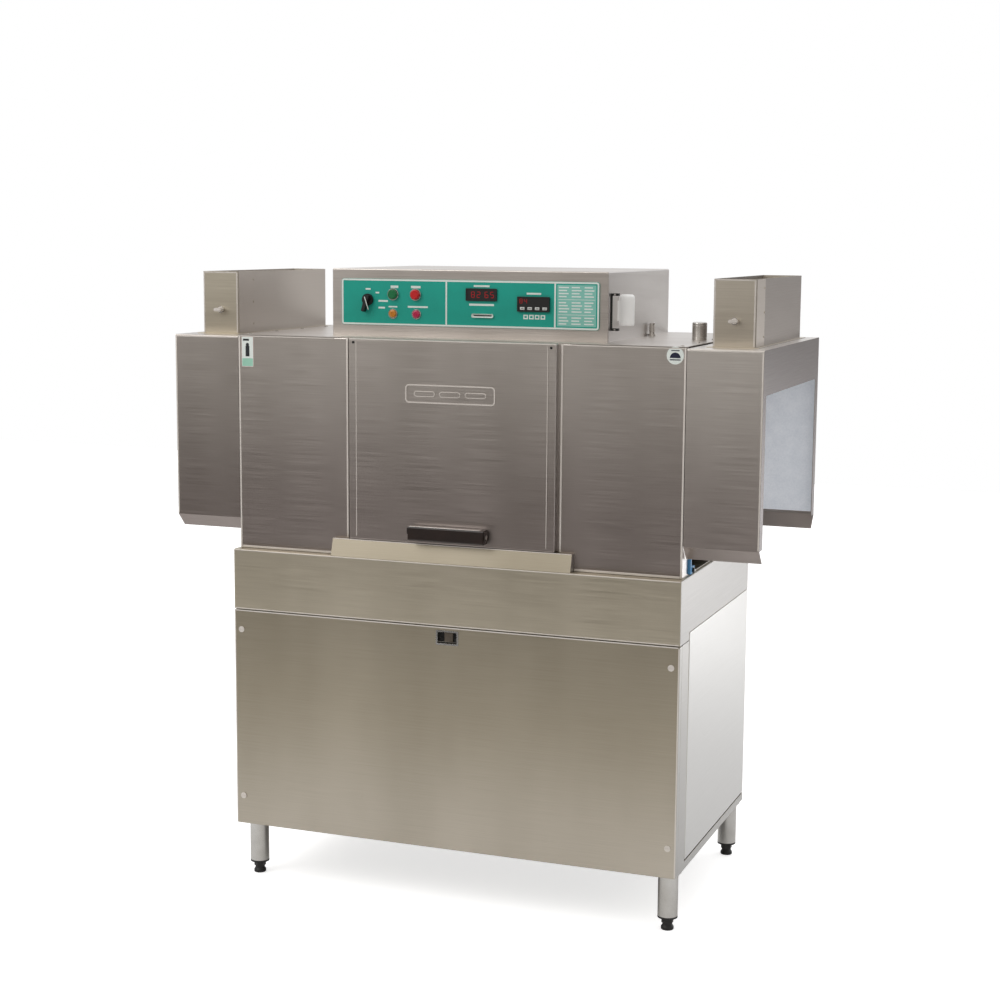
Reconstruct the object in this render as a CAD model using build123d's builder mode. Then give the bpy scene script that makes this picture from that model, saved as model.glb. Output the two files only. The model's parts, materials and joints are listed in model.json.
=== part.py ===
"""Rack-conveyor commercial dishwasher, built as separate pieces.

Frame: X runs along the machine from the entry end (-X) to the exit end (+X), Y from the
operator's side (-Y) to the back, Z up. The origin is on the floor under the middle of the
machine's bounding box. All sizes are in millimetres.
"""
from build123d import *
from math import cos, radians, sin
import os

# ------------------------------------------------------------------ driving sizes
sheet = 1.5              # folded stainless sheet
bend = 3.0               # outside radius of a fold
seam = 1.0               # gap left between neighbouring sheet pieces
running = 0.06           # radial clearance of a shaft that turns or slides in its hole

base_width = 1200.0      # cabinet under the hood, along X
base_depth = 700.0
leg_height = 150.0       # floor to the underside of the cabinet
rim_height = 886.0       # floor to the rim of the wash tank
roof_height = 1440.0     # floor to the roof of the wash chamber

hood_set_back = 28.0     # hood front behind the cabinet front
hood_depth = base_depth - 50
chamber_half = base_width / 2 - 6.5     # half length of the wash chamber
end_hood_length = 184.0
end_hood_drop = 4.0      # end hood roofs under the chamber roof
door_opening_half = 282.75

handle_reach = 17.0      # handle front ahead of the cabinet front
rack = 500.0             # square dish rack that the machine carries
rail_top = rim_height + 19              # height on which the racks slide

# ------------------------------------------------------------------ derived planes
base_half = base_width / 2
base_front = (handle_reach - base_depth) / 2
base_back = base_front + base_depth
hood_front = base_front + hood_set_back
hood_back = hood_front + hood_depth
rack_middle = (hood_front + hood_back) / 2
end_half = chamber_half + seam + end_hood_length
end_roof = roof_height - end_hood_drop

pieces = {}


def slab(x0, x1, y0, y1, z0, z1, mode=Mode.ADD):
    """A box between two corners, in the part being built."""
    with Locations(((x0 + x1) / 2, (y0 + y1) / 2, (z0 + z1) / 2)):
        Box(x1 - x0, y1 - y0, z1 - z0, mode=mode)


def rod(start, direction, radius, length, mode=Mode.ADD):
    """A round bar from a point along a direction, in the part being built."""
    with BuildSketch(Plane(origin=start, z_dir=direction)) as disc:
        Circle(radius)
    extrude(disc.sketch, amount=length, mode=mode)


def fold_pan(x0, x1, y0, y1, z0, z1, opening, wall=sheet, radius=bend):
    """A folded sheet pan, open on the face that lies furthest along the opening direction."""
    slab(x0, x1, y0, y1, z0, z1)
    open_face = faces().sort_by(opening)[-1]
    fillet(edges() - open_face.edges(), radius)
    offset(amount=-wall, openings=faces().sort_by(opening)[-1], kind=Kind.INTERSECTION)


# ------------------------------------------------------------------ legs and feet
leg_radius = 25.0
leg_wall = 2.0
leg_side_inset = leg_radius + 9
leg_front_inset = 61.0
leg_rear_inset = leg_radius + 7
leg_flange_radius = leg_radius + 8
leg_flange = 3.0
insert_collar = 5.0
insert_plug = 26.0
foot_height = 31.0       # floor to the underside of the plastic insert
foot_radius = 16.0
foot_neck = 12.5
sole_edge = 7.0          # height of the sole's rim
sole_top = 12.0          # where the sole meets the neck
stem_radius = 8.0
stem_top = 100.0
foot_gap = 0.6

leg_x = base_half - leg_side_inset
leg_places = {
    "front_left": (-leg_x, base_front + leg_front_inset),
    "front_right": (leg_x, base_front + leg_front_inset),
    "rear_left": (-leg_x, base_back - leg_rear_inset),
    "rear_right": (leg_x, base_back - leg_rear_inset),
}
tube_bottom = foot_height + insert_collar

with BuildPart() as legs:
    for x, y in leg_places.values():
        rod((x, y, tube_bottom), (0, 0, 1), leg_radius, leg_height - tube_bottom)
        rod((x, y, leg_height - leg_flange), (0, 0, 1), leg_flange_radius, leg_flange)
    for x, y in leg_places.values():
        rod((x, y, tube_bottom), (0, 0, 1), leg_radius - leg_wall,
            leg_height - tube_bottom - leg_flange, mode=Mode.SUBTRACT)
pieces["legs"] = legs

with BuildPart() as leg_inserts:
    for x, y in leg_places.values():
        rod((x, y, foot_height), (0, 0, 1), leg_radius, insert_collar)
        rod((x, y, tube_bottom), (0, 0, 1), leg_radius - leg_wall - running, insert_plug)
    for x, y in leg_places.values():
        rod((x, y, foot_height), (0, 0, 1), stem_radius + running,
            insert_collar + insert_plug, mode=Mode.SUBTRACT)
pieces["leg_inserts"] = leg_inserts

for place, (x, y) in leg_places.items():
    with BuildPart() as foot:
        with BuildSketch(Plane.XZ.offset(-y)):
            with BuildLine():
                Polyline((x, 0), (x + foot_radius - 1, 0), (x + foot_radius, 1),
                         (x + foot_radius, sole_edge), (x + foot_neck, sole_top),
                         (x + foot_neck, foot_height - foot_gap),
                         (x + stem_radius, foot_height - foot_gap),
                         (x + stem_radius, stem_top), (x, stem_top), close=True)
            make_face()
        revolve(axis=Axis((x, y, 0), (0, 0, 1)))
    pieces[f"foot_{place}"] = foot

# ------------------------------------------------------------------ cabinet base
frame_wall = 2.0
bottom_rail = 20.0       # height of the bottom channel
rail_flange = 30.0
panel_return = 20.0      # depth of a panel's folded edge
band_bottom = rim_height - 158          # lower edge of the tank's front skirt
side_band_bottom = rim_height - 139
post_reach = 82.0        # front corner post, seen from the side
side_panel_front = 91.0
post_front_width = 40.0
post_lip = 25.0
top_rail = 26.0
rear_post_depth = 60.0
back_inset = 4.0
ring_inset = 70.0        # from the side to the opening in the bottom ring

frame_top = band_bottom - 2
side_inner = base_half - panel_return - seam      # inside of the side panels' folds
post_y = base_front + panel_return + seam

with BuildPart() as base_frame:
    # bottom channel: a ring of angle, its outer face in line with the side panels
    slab(-base_half, base_half, post_y, base_back, leg_height, leg_height + bottom_rail)
    slab(-base_half + frame_wall, base_half - frame_wall, post_y + frame_wall,
         base_back - frame_wall, leg_height + frame_wall, leg_height + bottom_rail,
         mode=Mode.SUBTRACT)
    slab(-base_half + ring_inset, base_half - ring_inset, post_y + rail_flange,
         base_back - rail_flange, leg_height, leg_height + frame_wall, mode=Mode.SUBTRACT)
    for s in (-1, 1):
        outer, inner = s * base_half, s * (base_half - frame_wall)
        x_lo, x_hi = min(outer, inner), max(outer, inner)
        # front corner post: side face, front face with the stud holes, inward lip
        slab(x_lo, x_hi, post_y, base_front + post_reach, leg_height, frame_top)
        lip_in = s * (base_half - post_lip)
        slab(min(outer, lip_in), max(outer, lip_in), base_front + post_reach - frame_wall,
             base_front + post_reach, leg_height, frame_top)
        face_in = s * (base_half - post_front_width)
        slab(min(outer, face_in), max(outer, face_in), post_y, post_y + frame_wall,
             leg_height, frame_top)
        # rear corner post, an angle inside the side and back panels
        side_a, side_b = s * side_inner, s * (side_inner - frame_wall)
        slab(min(side_a, side_b), max(side_a, side_b), base_back - rear_post_depth,
             base_back - back_inset, leg_height, frame_top)
        back_in = s * (side_inner - post_front_width)
        slab(min(side_a, back_in), max(side_a, back_in), base_back - back_inset - frame_wall,
             base_back - back_inset, leg_height, frame_top)
        # top rail along the side, which carries the tank
        slab(min(side_a, side_b), max(side_a, side_b), post_y, base_back - back_inset,
             frame_top - top_rail, frame_top)
        flange_in = s * (side_inner - top_rail)
        slab(min(side_a, flange_in), max(side_a, flange_in), post_y, base_back - back_inset,
             frame_top - frame_wall, frame_top)
    for y0, y1 in ((post_y, post_y + frame_wall),
                   (base_back - back_inset - frame_wall, base_back - back_inset)):
        slab(-side_inner, side_inner, y0, y1, frame_top - top_rail, frame_top)
pieces["base_frame"] = base_frame

stud_x = base_half - 21
stud_heights = (leg_height + 76, frame_top - 52)
stud_radius = 6.0
stud_head = 8.0
stud_proud = 2.0
stud_reach = 16.0
stud_fit = 0.3
pull_half = 30.5
pull_low, pull_high = frame_top - 46, frame_top - 8
pull_border = 3.5
pull_proud = 1.2
pull_depth = 17.0
pull_wall = 1.2
edge_round = 1.2

with BuildPart() as front_access_panel:
    fold_pan(-base_half, base_half, base_front, base_front + panel_return, leg_height,
             frame_top, Axis.Y)
    slab(-pull_half + pull_border - 0.5, pull_half - pull_border + 0.5, base_front - 1,
         base_front + 5, pull_low + pull_border - 0.5, pull_high - pull_border + 0.5,
         mode=Mode.SUBTRACT)
    for s in (-1, 1):
        for z in stud_heights:
            rod((s * stud_x, base_front - 1, z), (0, 1, 0), stud_radius + stud_fit, 8,
                mode=Mode.SUBTRACT)
pieces["front_access_panel"] = front_access_panel

with BuildPart() as panel_pull:
    with BuildSketch(Plane.XZ.offset(-(base_front - pull_proud))):
        with Locations((0, (pull_low + pull_high) / 2)):
            RectangleRounded(2 * pull_half, pull_high - pull_low, 3)
    extrude(amount=-pull_proud)
    slab(-pull_half + pull_border, pull_half - pull_border, base_front, base_front + pull_depth,
         pull_low + pull_border, pull_high - pull_border)
    inner = pull_border + pull_wall
    slab(-pull_half + inner, pull_half - inner, base_front - pull_proud,
         base_front + pull_depth - pull_wall, pull_low + inner, pull_high - inner,
         mode=Mode.SUBTRACT)
pieces["panel_pull"] = panel_pull

with BuildPart() as panel_studs:
    for s in (-1, 1):
        for z in stud_heights:
            rod((s * stud_x, base_front - stud_proud, z), (0, 1, 0), stud_head,
                stud_proud)
            rod((s * stud_x, base_front, z), (0, 1, 0), stud_radius, stud_reach)
    fillet(edges().filter_by(GeomType.CIRCLE).group_by(Axis.Y)[0], edge_round)
pieces["panel_studs"] = panel_studs

side_panel_bottom = leg_height + bottom_rail + 2
side_panel_top = side_band_bottom - 2
for side, s in (("left", -1), ("right", 1)):
    face, fold = s * base_half, s * (base_half - panel_return)
    with BuildPart() as side_panel:
        fold_pan(min(face, fold), max(face, fold), base_front + side_panel_front, base_back,
                 side_panel_bottom, side_panel_top, Axis((0, 0, 0), (-s, 0, 0)))
    pieces[f"{side}_side_panel"] = side_panel

with BuildPart() as base_back_panel:
    slab(-side_inner, side_inner, base_back - back_inset + 0.5, base_back - back_inset + 2,
         side_panel_bottom, side_panel_top)
pieces["base_back_panel"] = base_back_panel

# ------------------------------------------------------------------ wash tank
tank_left = 60 - base_half
tank_right = base_half - 200
tank_margin = 55.0       # rim ledge in front of and behind the well
tank_floor = rim_height - 326
tray_height = rim_height - 98
ledge = 20.0
drain_x, drain_y = tank_right - 60, base_front + 150.0
drain_bore = 20.0
drain_radius = 24.0
drain_length = 68.5
riser_x, riser_y, riser_radius = 200.0, base_back - 68, 16.0
suction_x, pump_y = 120.0, base_back - 120
suction_bore = 20.0
heater_radius = 6.0
heater_height = tank_floor + 40
heater_rows = (rack_middle - 103, rack_middle + 67)
crank_x, crank_y = base_half - 100, rack_middle
crank_hole = 62.0
pipe_fit = 0.2
lug_half = 20.0
lug_thick = 4.0

well_front, well_back = base_front + tank_margin, base_back - tank_margin + 10

with BuildPart() as wash_tank:
    # skirt and rim in one folded shell
    fold_pan(-base_half, base_half, base_front, base_back, band_bottom, rim_height,
             Axis((0, 0, 0), (0, 0, -1)))
    slab(-base_half - 1, base_half + 1, base_front + post_reach, base_back + 1,
         band_bottom - 1, side_band_bottom, mode=Mode.SUBTRACT)
    slab(-base_half + bend, base_half - bend, base_front + 0.5, base_front + panel_return,
         band_bottom, band_bottom + sheet)
    # the well hangs from the rim
    slab(tank_left, tank_right, well_front, well_back, tank_floor - sheet, rim_height)
    slab(tank_left + sheet, tank_right - sheet, well_front + sheet, well_back - sheet,
         tank_floor, rim_height + 1, mode=Mode.SUBTRACT)
    # ledges that carry the scrap tray, and lugs that stand on the frame
    slab(tank_left + sheet, tank_right - sheet, well_front + sheet, well_front + ledge,
         tray_height - 2, tray_height)
    slab(tank_left + sheet, tank_right - sheet, well_back - ledge, well_back - sheet,
         tray_height - 2, tray_height)
    for y in (base_front + 120, base_back - 120):
        for x0, x1 in ((-side_inner, tank_left), (tank_right, side_inner)):
            slab(x0, x1, y - lug_half, y + lug_half, frame_top, frame_top + lug_thick)
    rod((drain_x, drain_y, tank_floor - sheet - drain_length), (0, 0, 1), drain_radius,
        drain_length)
    rod((drain_x, drain_y, tank_floor - sheet - drain_length), (0, 0, 1),
        drain_bore + running, drain_length + sheet, mode=Mode.SUBTRACT)
    rod((riser_x, riser_y, tank_floor - 5), (0, 0, 1), riser_radius + pipe_fit, 10,
        mode=Mode.SUBTRACT)
    slab(riser_x - 20, riser_x + 20, riser_y - 20, well_back - sheet, tray_height - 3,
         tray_height + 1, mode=Mode.SUBTRACT)
    rod((suction_x, pump_y, tank_floor - 5), (0, 0, 1), suction_bore, 10, mode=Mode.SUBTRACT)
    for y in heater_rows:
        rod((tank_right - 5, y, heater_height), (1, 0, 0), heater_radius + pipe_fit, 10,
            mode=Mode.SUBTRACT)
    rod((crank_x, crank_y, rim_height - 5), (0, 0, 1), crank_hole, 10, mode=Mode.SUBTRACT)
pieces["wash_tank"] = wash_tank

tray_right = riser_x - 40         # clear of the wash riser
tray_rim = 24.0
tray_hole = 15.0
tray_pitch = 55.0
with BuildPart() as scrap_tray:
    fold_pan(tank_left + 10, tray_right, well_front + 4, well_back - 4, tray_height,
             tray_height + tray_rim, Axis.Z)
    with Locations(((tank_left + 10 + tray_right) / 2, rack_middle, tray_height)):
        with GridLocations(tray_pitch, tray_pitch, 12, 10):
            Cylinder(tray_hole, 10, mode=Mode.SUBTRACT)
pieces["scrap_tray"] = scrap_tray

standpipe_radius = 22.0
standpipe_top = tray_height - 16
plug_depth = 22.0
plug_rim, plug_wall = 8.0, 3.0
plug_gap = 0.3
lift_bar = 6.0
with BuildPart() as overflow_standpipe:
    rod((drain_x, drain_y, tank_floor - plug_depth), (0, 0, 1), drain_bore, plug_depth)
    rod((drain_x, drain_y, tank_floor + plug_gap), (0, 0, 1), drain_radius + plug_rim,
        plug_rim)
    rod((drain_x, drain_y, tank_floor), (0, 0, 1), drain_bore, plug_rim)
    rod((drain_x, drain_y, tank_floor + plug_rim), (0, 0, 1), standpipe_radius,
        standpipe_top - tank_floor - plug_rim)
    rod((drain_x, drain_y, tank_floor - plug_depth), (0, 0, 1), drain_bore - plug_wall,
        standpipe_top - tank_floor + plug_depth + 1, mode=Mode.SUBTRACT)
    # lifting bar across the top
    slab(drain_x - drain_bore, drain_x + drain_bore, drain_y - lift_bar / 2,
         drain_y + lift_bar / 2, standpipe_top - lift_bar, standpipe_top)
pieces["overflow_standpipe"] = overflow_standpipe

heater_left = tank_left + 190
heater_bend = 40.0
heater_end = 12.0        # terminals outside the tank wall
heater_plate, heater_plate_thick = 20.0, 4.0
with BuildPart() as heater_element:
    with BuildLine() as heater_path:
        FilletPolyline((tank_right + heater_end, heater_rows[0], heater_height),
                       (heater_left, heater_rows[0], heater_height),
                       (heater_left, heater_rows[1], heater_height),
                       (tank_right + heater_end, heater_rows[1], heater_height), radius=heater_bend)
    with BuildSketch(Plane(origin=heater_path.line @ 0, z_dir=heater_path.line % 0)):
        Circle(heater_radius)
    sweep(path=heater_path.line)
    slab(tank_right, tank_right + heater_plate_thick, heater_rows[0] - heater_plate,
         heater_rows[1] + heater_plate, heater_height - heater_plate,
         heater_height + heater_plate)
pieces["heater_element"] = heater_element

# ------------------------------------------------------------------ hood and chamber
door_half = door_opening_half - 7.75
door_border = door_half - 21             # crease between the door's field and its edge strip
door_proud = 15.0
door_bottom_gap = 1.0
sill_top = rim_height + 44
sill_half = door_opening_half + 38.25
sill_lean = 14.0
flange_reach = 27.0      # door flange that runs in the guide
flange_thick = 3.0
guide_gap = 1.5          # play of the flange in its guide, front and back
guide_wall = 2.0
guide_inner = door_opening_half + 1.25
door_front = hood_front - door_proud
guide_front = hood_front + sheet + 0.5
slot_front = guide_front + guide_wall
flange_front = slot_front + guide_gap
flange_back = flange_front + flange_thick
slot_back = flange_back + guide_gap
guide_back = slot_back + guide_wall
guide_outer = door_half + flange_reach + 2 + guide_wall
door_bottom = sill_top + door_bottom_gap
door_top = roof_height - 1

with BuildPart() as door_sill:
    profile = [(base_front + 0.5, rim_height), (base_front + 2, rim_height),
               (base_front + sill_lean + 1.5, sill_top - sheet),
               (hood_front - seam, sill_top - sheet), (hood_front - seam, sill_top),
               (base_front + sill_lean, sill_top)]
    with BuildSketch(Plane.YZ.offset(-sill_half)):
        with BuildLine():
            Polyline(*profile, close=True)
        make_face()
    extrude(amount=2 * sill_half)
    for x0 in (-sill_half, sill_half - sheet):
        with BuildSketch(Plane.YZ.offset(x0)):
            with BuildLine():
                Polyline((base_front + 0.5, rim_height), (hood_front - seam, rim_height),
                         (hood_front - seam, sill_top), (base_front + sill_lean, sill_top),
                         close=True)
            make_face()
        extrude(amount=sheet)
pieces["door_sill"] = door_sill

panel_top = roof_height - sheet
for side, s in (("left", -1), ("right", 1)):
    inner_edge, outer_edge = s * door_opening_half, s * chamber_half
    behind = s * (guide_outer + 4)
    with BuildPart() as front_panel:
        spare = s * (door_opening_half - 20)
        fold_pan(min(spare, outer_edge), max(spare, outer_edge), hood_front,
                 hood_front + panel_return, rim_height, panel_top, Axis.Y)
        # the edge beside the door stays flat, so that the door's flange passes behind it
        slab(min(spare * 0.9, inner_edge), max(spare * 0.9, inner_edge), hood_front - 1,
             hood_front + panel_return + 1, rim_height - 1, panel_top + 1, mode=Mode.SUBTRACT)
        slab(min(spare, behind), max(spare, behind), hood_front + sheet,
             hood_front + panel_return + 1, rim_height - 1, panel_top + 1, mode=Mode.SUBTRACT)
    pieces[f"{side}_front_panel"] = front_panel

with BuildPart() as door_guides:
    for s in (-1, 1):
        a, b = s * guide_inner, s * guide_outer
        slab(min(a, b), max(a, b), guide_front, guide_back, rim_height, panel_top)
        b = s * (guide_outer - guide_wall)
        slab(min(a, b), max(a, b), slot_front, slot_back, sill_top, panel_top,
             mode=Mode.SUBTRACT)
pieces["door_guides"] = door_guides

badge_half = 119.5
badge_low, badge_high = roof_height - 157, roof_height - 110
badge_line = 4.0
badge_proud = 1.2
badge_bars, badge_bar, badge_pitch = 3, (56.0, 14.0), 68.0
field_proud = 1.0
field_margin = 6.0
with BuildPart() as door_panel:
    fold_pan(-door_half, door_half, door_front + field_proud, flange_back, door_bottom,
             door_top, Axis.Y)
    slab(-door_border, door_border, door_front, door_front + field_proud + sheet / 2,
         door_bottom + field_margin, door_top - field_margin)
    for s in (-1, 1):
        a, b = s * (door_half - sheet / 2), s * (door_half + flange_reach)
        slab(min(a, b), max(a, b), flange_front, flange_back, door_bottom, door_top)
    # raised badge: a rounded frame with three plain bars
    with BuildSketch(Plane.XZ.offset(-door_front)):
        with Locations((0, (badge_low + badge_high) / 2)):
            RectangleRounded(2 * badge_half, badge_high - badge_low, 10)
            RectangleRounded(2 * (badge_half - badge_line),
                             badge_high - badge_low - 2 * badge_line, 7, mode=Mode.SUBTRACT)
            with GridLocations(badge_pitch, 1, badge_bars, 1):
                SlotOverall(*badge_bar)
    extrude(amount=badge_proud)
pieces["door_panel"] = door_panel

handle_half = 100.5
handle_low, handle_high = sill_top + 12, sill_top + 47
handle_wall = 6.0
handle_round = 4.0
handle_front = base_front - handle_reach
with BuildPart() as door_handle:
    slab(-handle_half, handle_half, handle_front, door_front, handle_low, handle_high)
    fillet(edges().filter_by(Axis.X).group_by(Axis.Y)[0], handle_round)
    slab(-handle_half + handle_wall, handle_half - handle_wall, handle_front + handle_wall,
         door_front + 1, handle_low - 1, handle_high - handle_wall, mode=Mode.SUBTRACT)
pieces["door_handle"] = door_handle

roof_notch = guide_back + 2
drip_fold = 14.0
back_fold = 14.0
with BuildPart() as chamber_roof:
    slab(-chamber_half, chamber_half, hood_front, hood_back, panel_top, roof_height)
    slab(-guide_outer - 2, guide_outer + 2, hood_front - 1, roof_notch, panel_top - 1,
         roof_height + 1, mode=Mode.SUBTRACT)
    # drip fold along the notch
    slab(-guide_outer - 2, guide_outer + 2, roof_notch, roof_notch + sheet,
         panel_top - drip_fold,
         panel_top)
pieces["chamber_roof"] = chamber_roof

with BuildPart() as chamber_back_panel:
    slab(-chamber_half, chamber_half, hood_back - sheet, hood_back, rim_height, panel_top)
    for z0, z1 in ((rim_height, rim_height + sheet), (panel_top - sheet, panel_top)):
        slab(-chamber_half + 8, chamber_half - 8, hood_back - back_fold,
             hood_back - sheet / 2, z0, z1)
pieces["chamber_back_panel"] = chamber_back_panel

# ------------------------------------------------------------------ chamber ends and curtains
bulkhead_wall = 2.0
bulkhead_x = chamber_half - 3.5      # inner face
passage_half = rack / 2 + 18         # rack passage, half width
passage_top = roof_height - 84
passage_bottom = rim_height + 2
rod_radius = 4.0
rod_x = bulkhead_x - rod_radius - 0.5
rod_height = passage_top - 11
rod_block = (3.0, 7.0)    # half width and half height of the blocks that hold the rods
rod_half = passage_half + 8
curtain_sleeve = 6.5
curtain_thick = 3.0
curtain_low = rail_top + 7
curtain_half = rack / 2

with BuildPart() as end_bulkheads:
    for s in (-1, 1):
        a, b = s * bulkhead_x, s * (bulkhead_x + bulkhead_wall)
        slab(min(a, b), max(a, b), hood_front + panel_return + seam, hood_back - 16, rim_height,
             panel_top - 4)
        slab(min(a, b) - 1, max(a, b) + 1, rack_middle - passage_half,
             rack_middle + passage_half, passage_bottom, passage_top, mode=Mode.SUBTRACT)
    for s in (-1, 1):
        rod((s * rod_x, rack_middle - rod_half, rod_height), (0, 1, 0), rod_radius,
            2 * rod_half)
        for y in (-1, 1):
            edge = rack_middle + y * (passage_half + 5)
            a, b = s * rod_x, s * bulkhead_x
            slab(min(a, b), max(a, b), edge - rod_block[0], edge + rod_block[0],
                 rod_height - rod_block[1], rod_height + rod_block[1])
pieces["end_bulkheads"] = end_bulkheads

for end, s in (("entry", -1), ("exit", 1)):
    with BuildPart() as curtain:
        x = s * rod_x
        rod((x, rack_middle - curtain_half, rod_height), (0, 1, 0), curtain_sleeve,
            2 * curtain_half)
        slab(x - curtain_thick / 2, x + curtain_thick / 2, rack_middle - curtain_half,
             rack_middle + curtain_half, curtain_low, rod_height)
        rod((x, rack_middle - curtain_half - 1, rod_height), (0, 1, 0), rod_radius + running,
            2 * curtain_half + 2, mode=Mode.SUBTRACT)
    pieces[f"{end}_curtain"] = curtain

# ------------------------------------------------------------------ end hoods
lip_height = rim_height + 78            # where the wall bends inwards
lip_bottom = rim_height + 44.5
lip_depth = 31.0
lip_skin = (1.1, 1.02)   # the sheet's thickness across the slanted lip, as y and z
lip_knee = 0.7
end_return = 32.0
header_bottom = roof_height - 111
join_flange = 16.0
hood_join = chamber_half + seam
cowl_in, cowl_out = end_half - 143, end_half - 40
cowl_front, cowl_back = base_front + 106.0, base_back - 76
cowl_top = roof_height + 158
cowl_flange = 12.0
duct_margin = 3.0

for end, s in (("entry", -1), ("exit", 1)):
    a, b = s * hood_join, s * end_half
    x0, x1 = min(a, b), max(a, b)
    with BuildPart() as end_hood:
        wall = Plane.YZ.offset(x0)
        with BuildSketch(wall):
            with BuildLine():
                Polyline((hood_front + lip_depth, lip_bottom), (hood_front, lip_height),
                         (hood_front, end_roof), (hood_back, end_roof),
                         (hood_back, lip_height), (hood_back - lip_depth, lip_bottom),
                         (hood_back - lip_depth - lip_skin[0], lip_bottom + lip_skin[1]),
                         (hood_back - sheet, lip_height + lip_knee),
                         (hood_back - sheet, end_roof - sheet),
                         (hood_front + sheet, end_roof - sheet),
                         (hood_front + sheet, lip_height + lip_knee),
                         (hood_front + lip_depth + lip_skin[0], lip_bottom + lip_skin[1]),
                         close=True)
            make_face()
            fillet(vertices().group_by(Axis.Y)[-1], bend)
        extrude(amount=x1 - x0)
        # folded returns and header at the open end
        e0, e1 = min(b, b - s * sheet), max(b, b - s * sheet)
        for y0, y1 in ((hood_front, hood_front + end_return),
                       (hood_back - end_return, hood_back)):
            slab(e0, e1, y0 + 0.4, y1 - 0.4, lip_height, end_roof - bend)
        slab(e0, e1, hood_front + 0.4, hood_back - 0.4, header_bottom, end_roof - bend)
        slab(e0, e1, hood_front + bend, hood_back - bend, header_bottom, end_roof - 0.4)
        # flange against the chamber
        j0, j1 = min(a, a + s * sheet), max(a, a + s * sheet)
        for y0, y1 in ((hood_front + 0.4, hood_front + join_flange),
                       (hood_back - join_flange, hood_back - 0.4)):
            slab(j0, j1, y0, y1, lip_height, end_roof - bend)
        slab(j0, j1, hood_front + bend, hood_back - bend, end_roof - join_flange,
             end_roof - 0.4)
        # opening under the vent cowl
        c0, c1 = sorted((s * (cowl_in + duct_margin), s * (cowl_out - duct_margin)))
        slab(c0, c1, cowl_front + duct_margin, cowl_back - duct_margin, end_roof - 5,
             end_roof + 5, mode=Mode.SUBTRACT)
    pieces[f"{end}_hood"] = end_hood

# ------------------------------------------------------------------ vent cowls and dampers
shaft_height = roof_height + 59
damper_shaft = 4.0
damper_half = 45.0
damper_thick = 2.0
damper_end_gap = 6.0
knob_reach = 20.0
knob_half = 11.0
knob_thick = 9.0
knob_neck = 4.0          # bare shaft behind the knob
collar_radius = 7.0

for side, s in (("left", -1), ("right", 1)):
    c0, c1 = sorted((s * cowl_in, s * cowl_out))
    middle = (c0 + c1) / 2
    with BuildPart() as cowl:
        slab(c0, c1, cowl_front, cowl_back, end_roof, cowl_top)
        fillet(edges().filter_by(Axis.Z), bend)
        slab(c0 - cowl_flange, c1 + cowl_flange, cowl_front - cowl_flange,
             cowl_back + cowl_flange, end_roof, end_roof + sheet)
        slab(c0 + sheet, c1 - sheet, cowl_front + sheet, cowl_back - sheet, end_roof - 1,
             cowl_top + 1, mode=Mode.SUBTRACT)
        rod((middle, cowl_front - 2, shaft_height), (0, 1, 0), damper_shaft + running,
            cowl_back - cowl_front + 4, mode=Mode.SUBTRACT)
    pieces[f"{side}_vent_cowl"] = cowl

    with BuildPart() as damper:
        rod((middle, cowl_front - knob_reach + knob_neck, shaft_height), (0, 1, 0), damper_shaft,
            cowl_back - cowl_front + knob_reach + 2)
        slab(middle - damper_thick / 2, middle + damper_thick / 2,
             cowl_front + damper_end_gap, cowl_back - damper_end_gap,
             shaft_height - damper_half, shaft_height + damper_half)
        # wing knob on the operator's end
        with BuildSketch(Plane.XZ.offset(-(cowl_front - knob_reach))):
            with Locations((middle, shaft_height)):
                SlotOverall(2 * knob_half, knob_thick)
        extrude(amount=-(knob_reach - knob_neck))
        rod((middle, cowl_front - 5, shaft_height), (0, 1, 0), collar_radius, 3.5)
    pieces[f"{side}_damper"] = damper

# ------------------------------------------------------------------ control box
box_half = 370.4
box_front, box_back = base_front + 122.0, base_back - 35
box_top = roof_height + 170
fascia_left, fascia_right = -343.0, 348.0
fascia_low, fascia_high = box_top - 142, box_top - 25
fascia_thick = 3.0
fascia_round = 7.0
fascia_front = box_front - fascia_thick
window_margin = 8.0

selector_place = (-269.0, fascia_low + 64)
start_place, stop_place = (-198.6, fascia_low + 78.6), (-136.8, fascia_low + 78.6)
amber_place, red_place = (-199.6, fascia_low + 29.6), (-134.9, fascia_low + 29.6)
meter_size, meter_place = (82.4, 31.0), (40.8, fascia_low + 81.5)
controller_size, controller_place = (84.0, 37.0), (179.0, fascia_low + 60.5)
button_radius = 12.4
button_hole = 12.9
button_proud = 9.0
bezel_radius = 15.0
bezel_proud = 4.0
lamp_radius = 10.0
lamp_bezel = 12.6
selector_shaft = 5.0
selector_disc = 15.0
body_inset = 5.0

with BuildPart() as control_box_cover:
    fold_pan(-box_half, box_half, box_front, box_back, roof_height, box_top,
             Axis((0, 0, 0), (0, 0, -1)))
    slab(fascia_left + window_margin, fascia_right - window_margin, box_front - 1,
         box_front + 5, fascia_low + window_margin, fascia_high - window_margin,
         mode=Mode.SUBTRACT)
pieces["control_box_cover"] = control_box_cover

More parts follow.
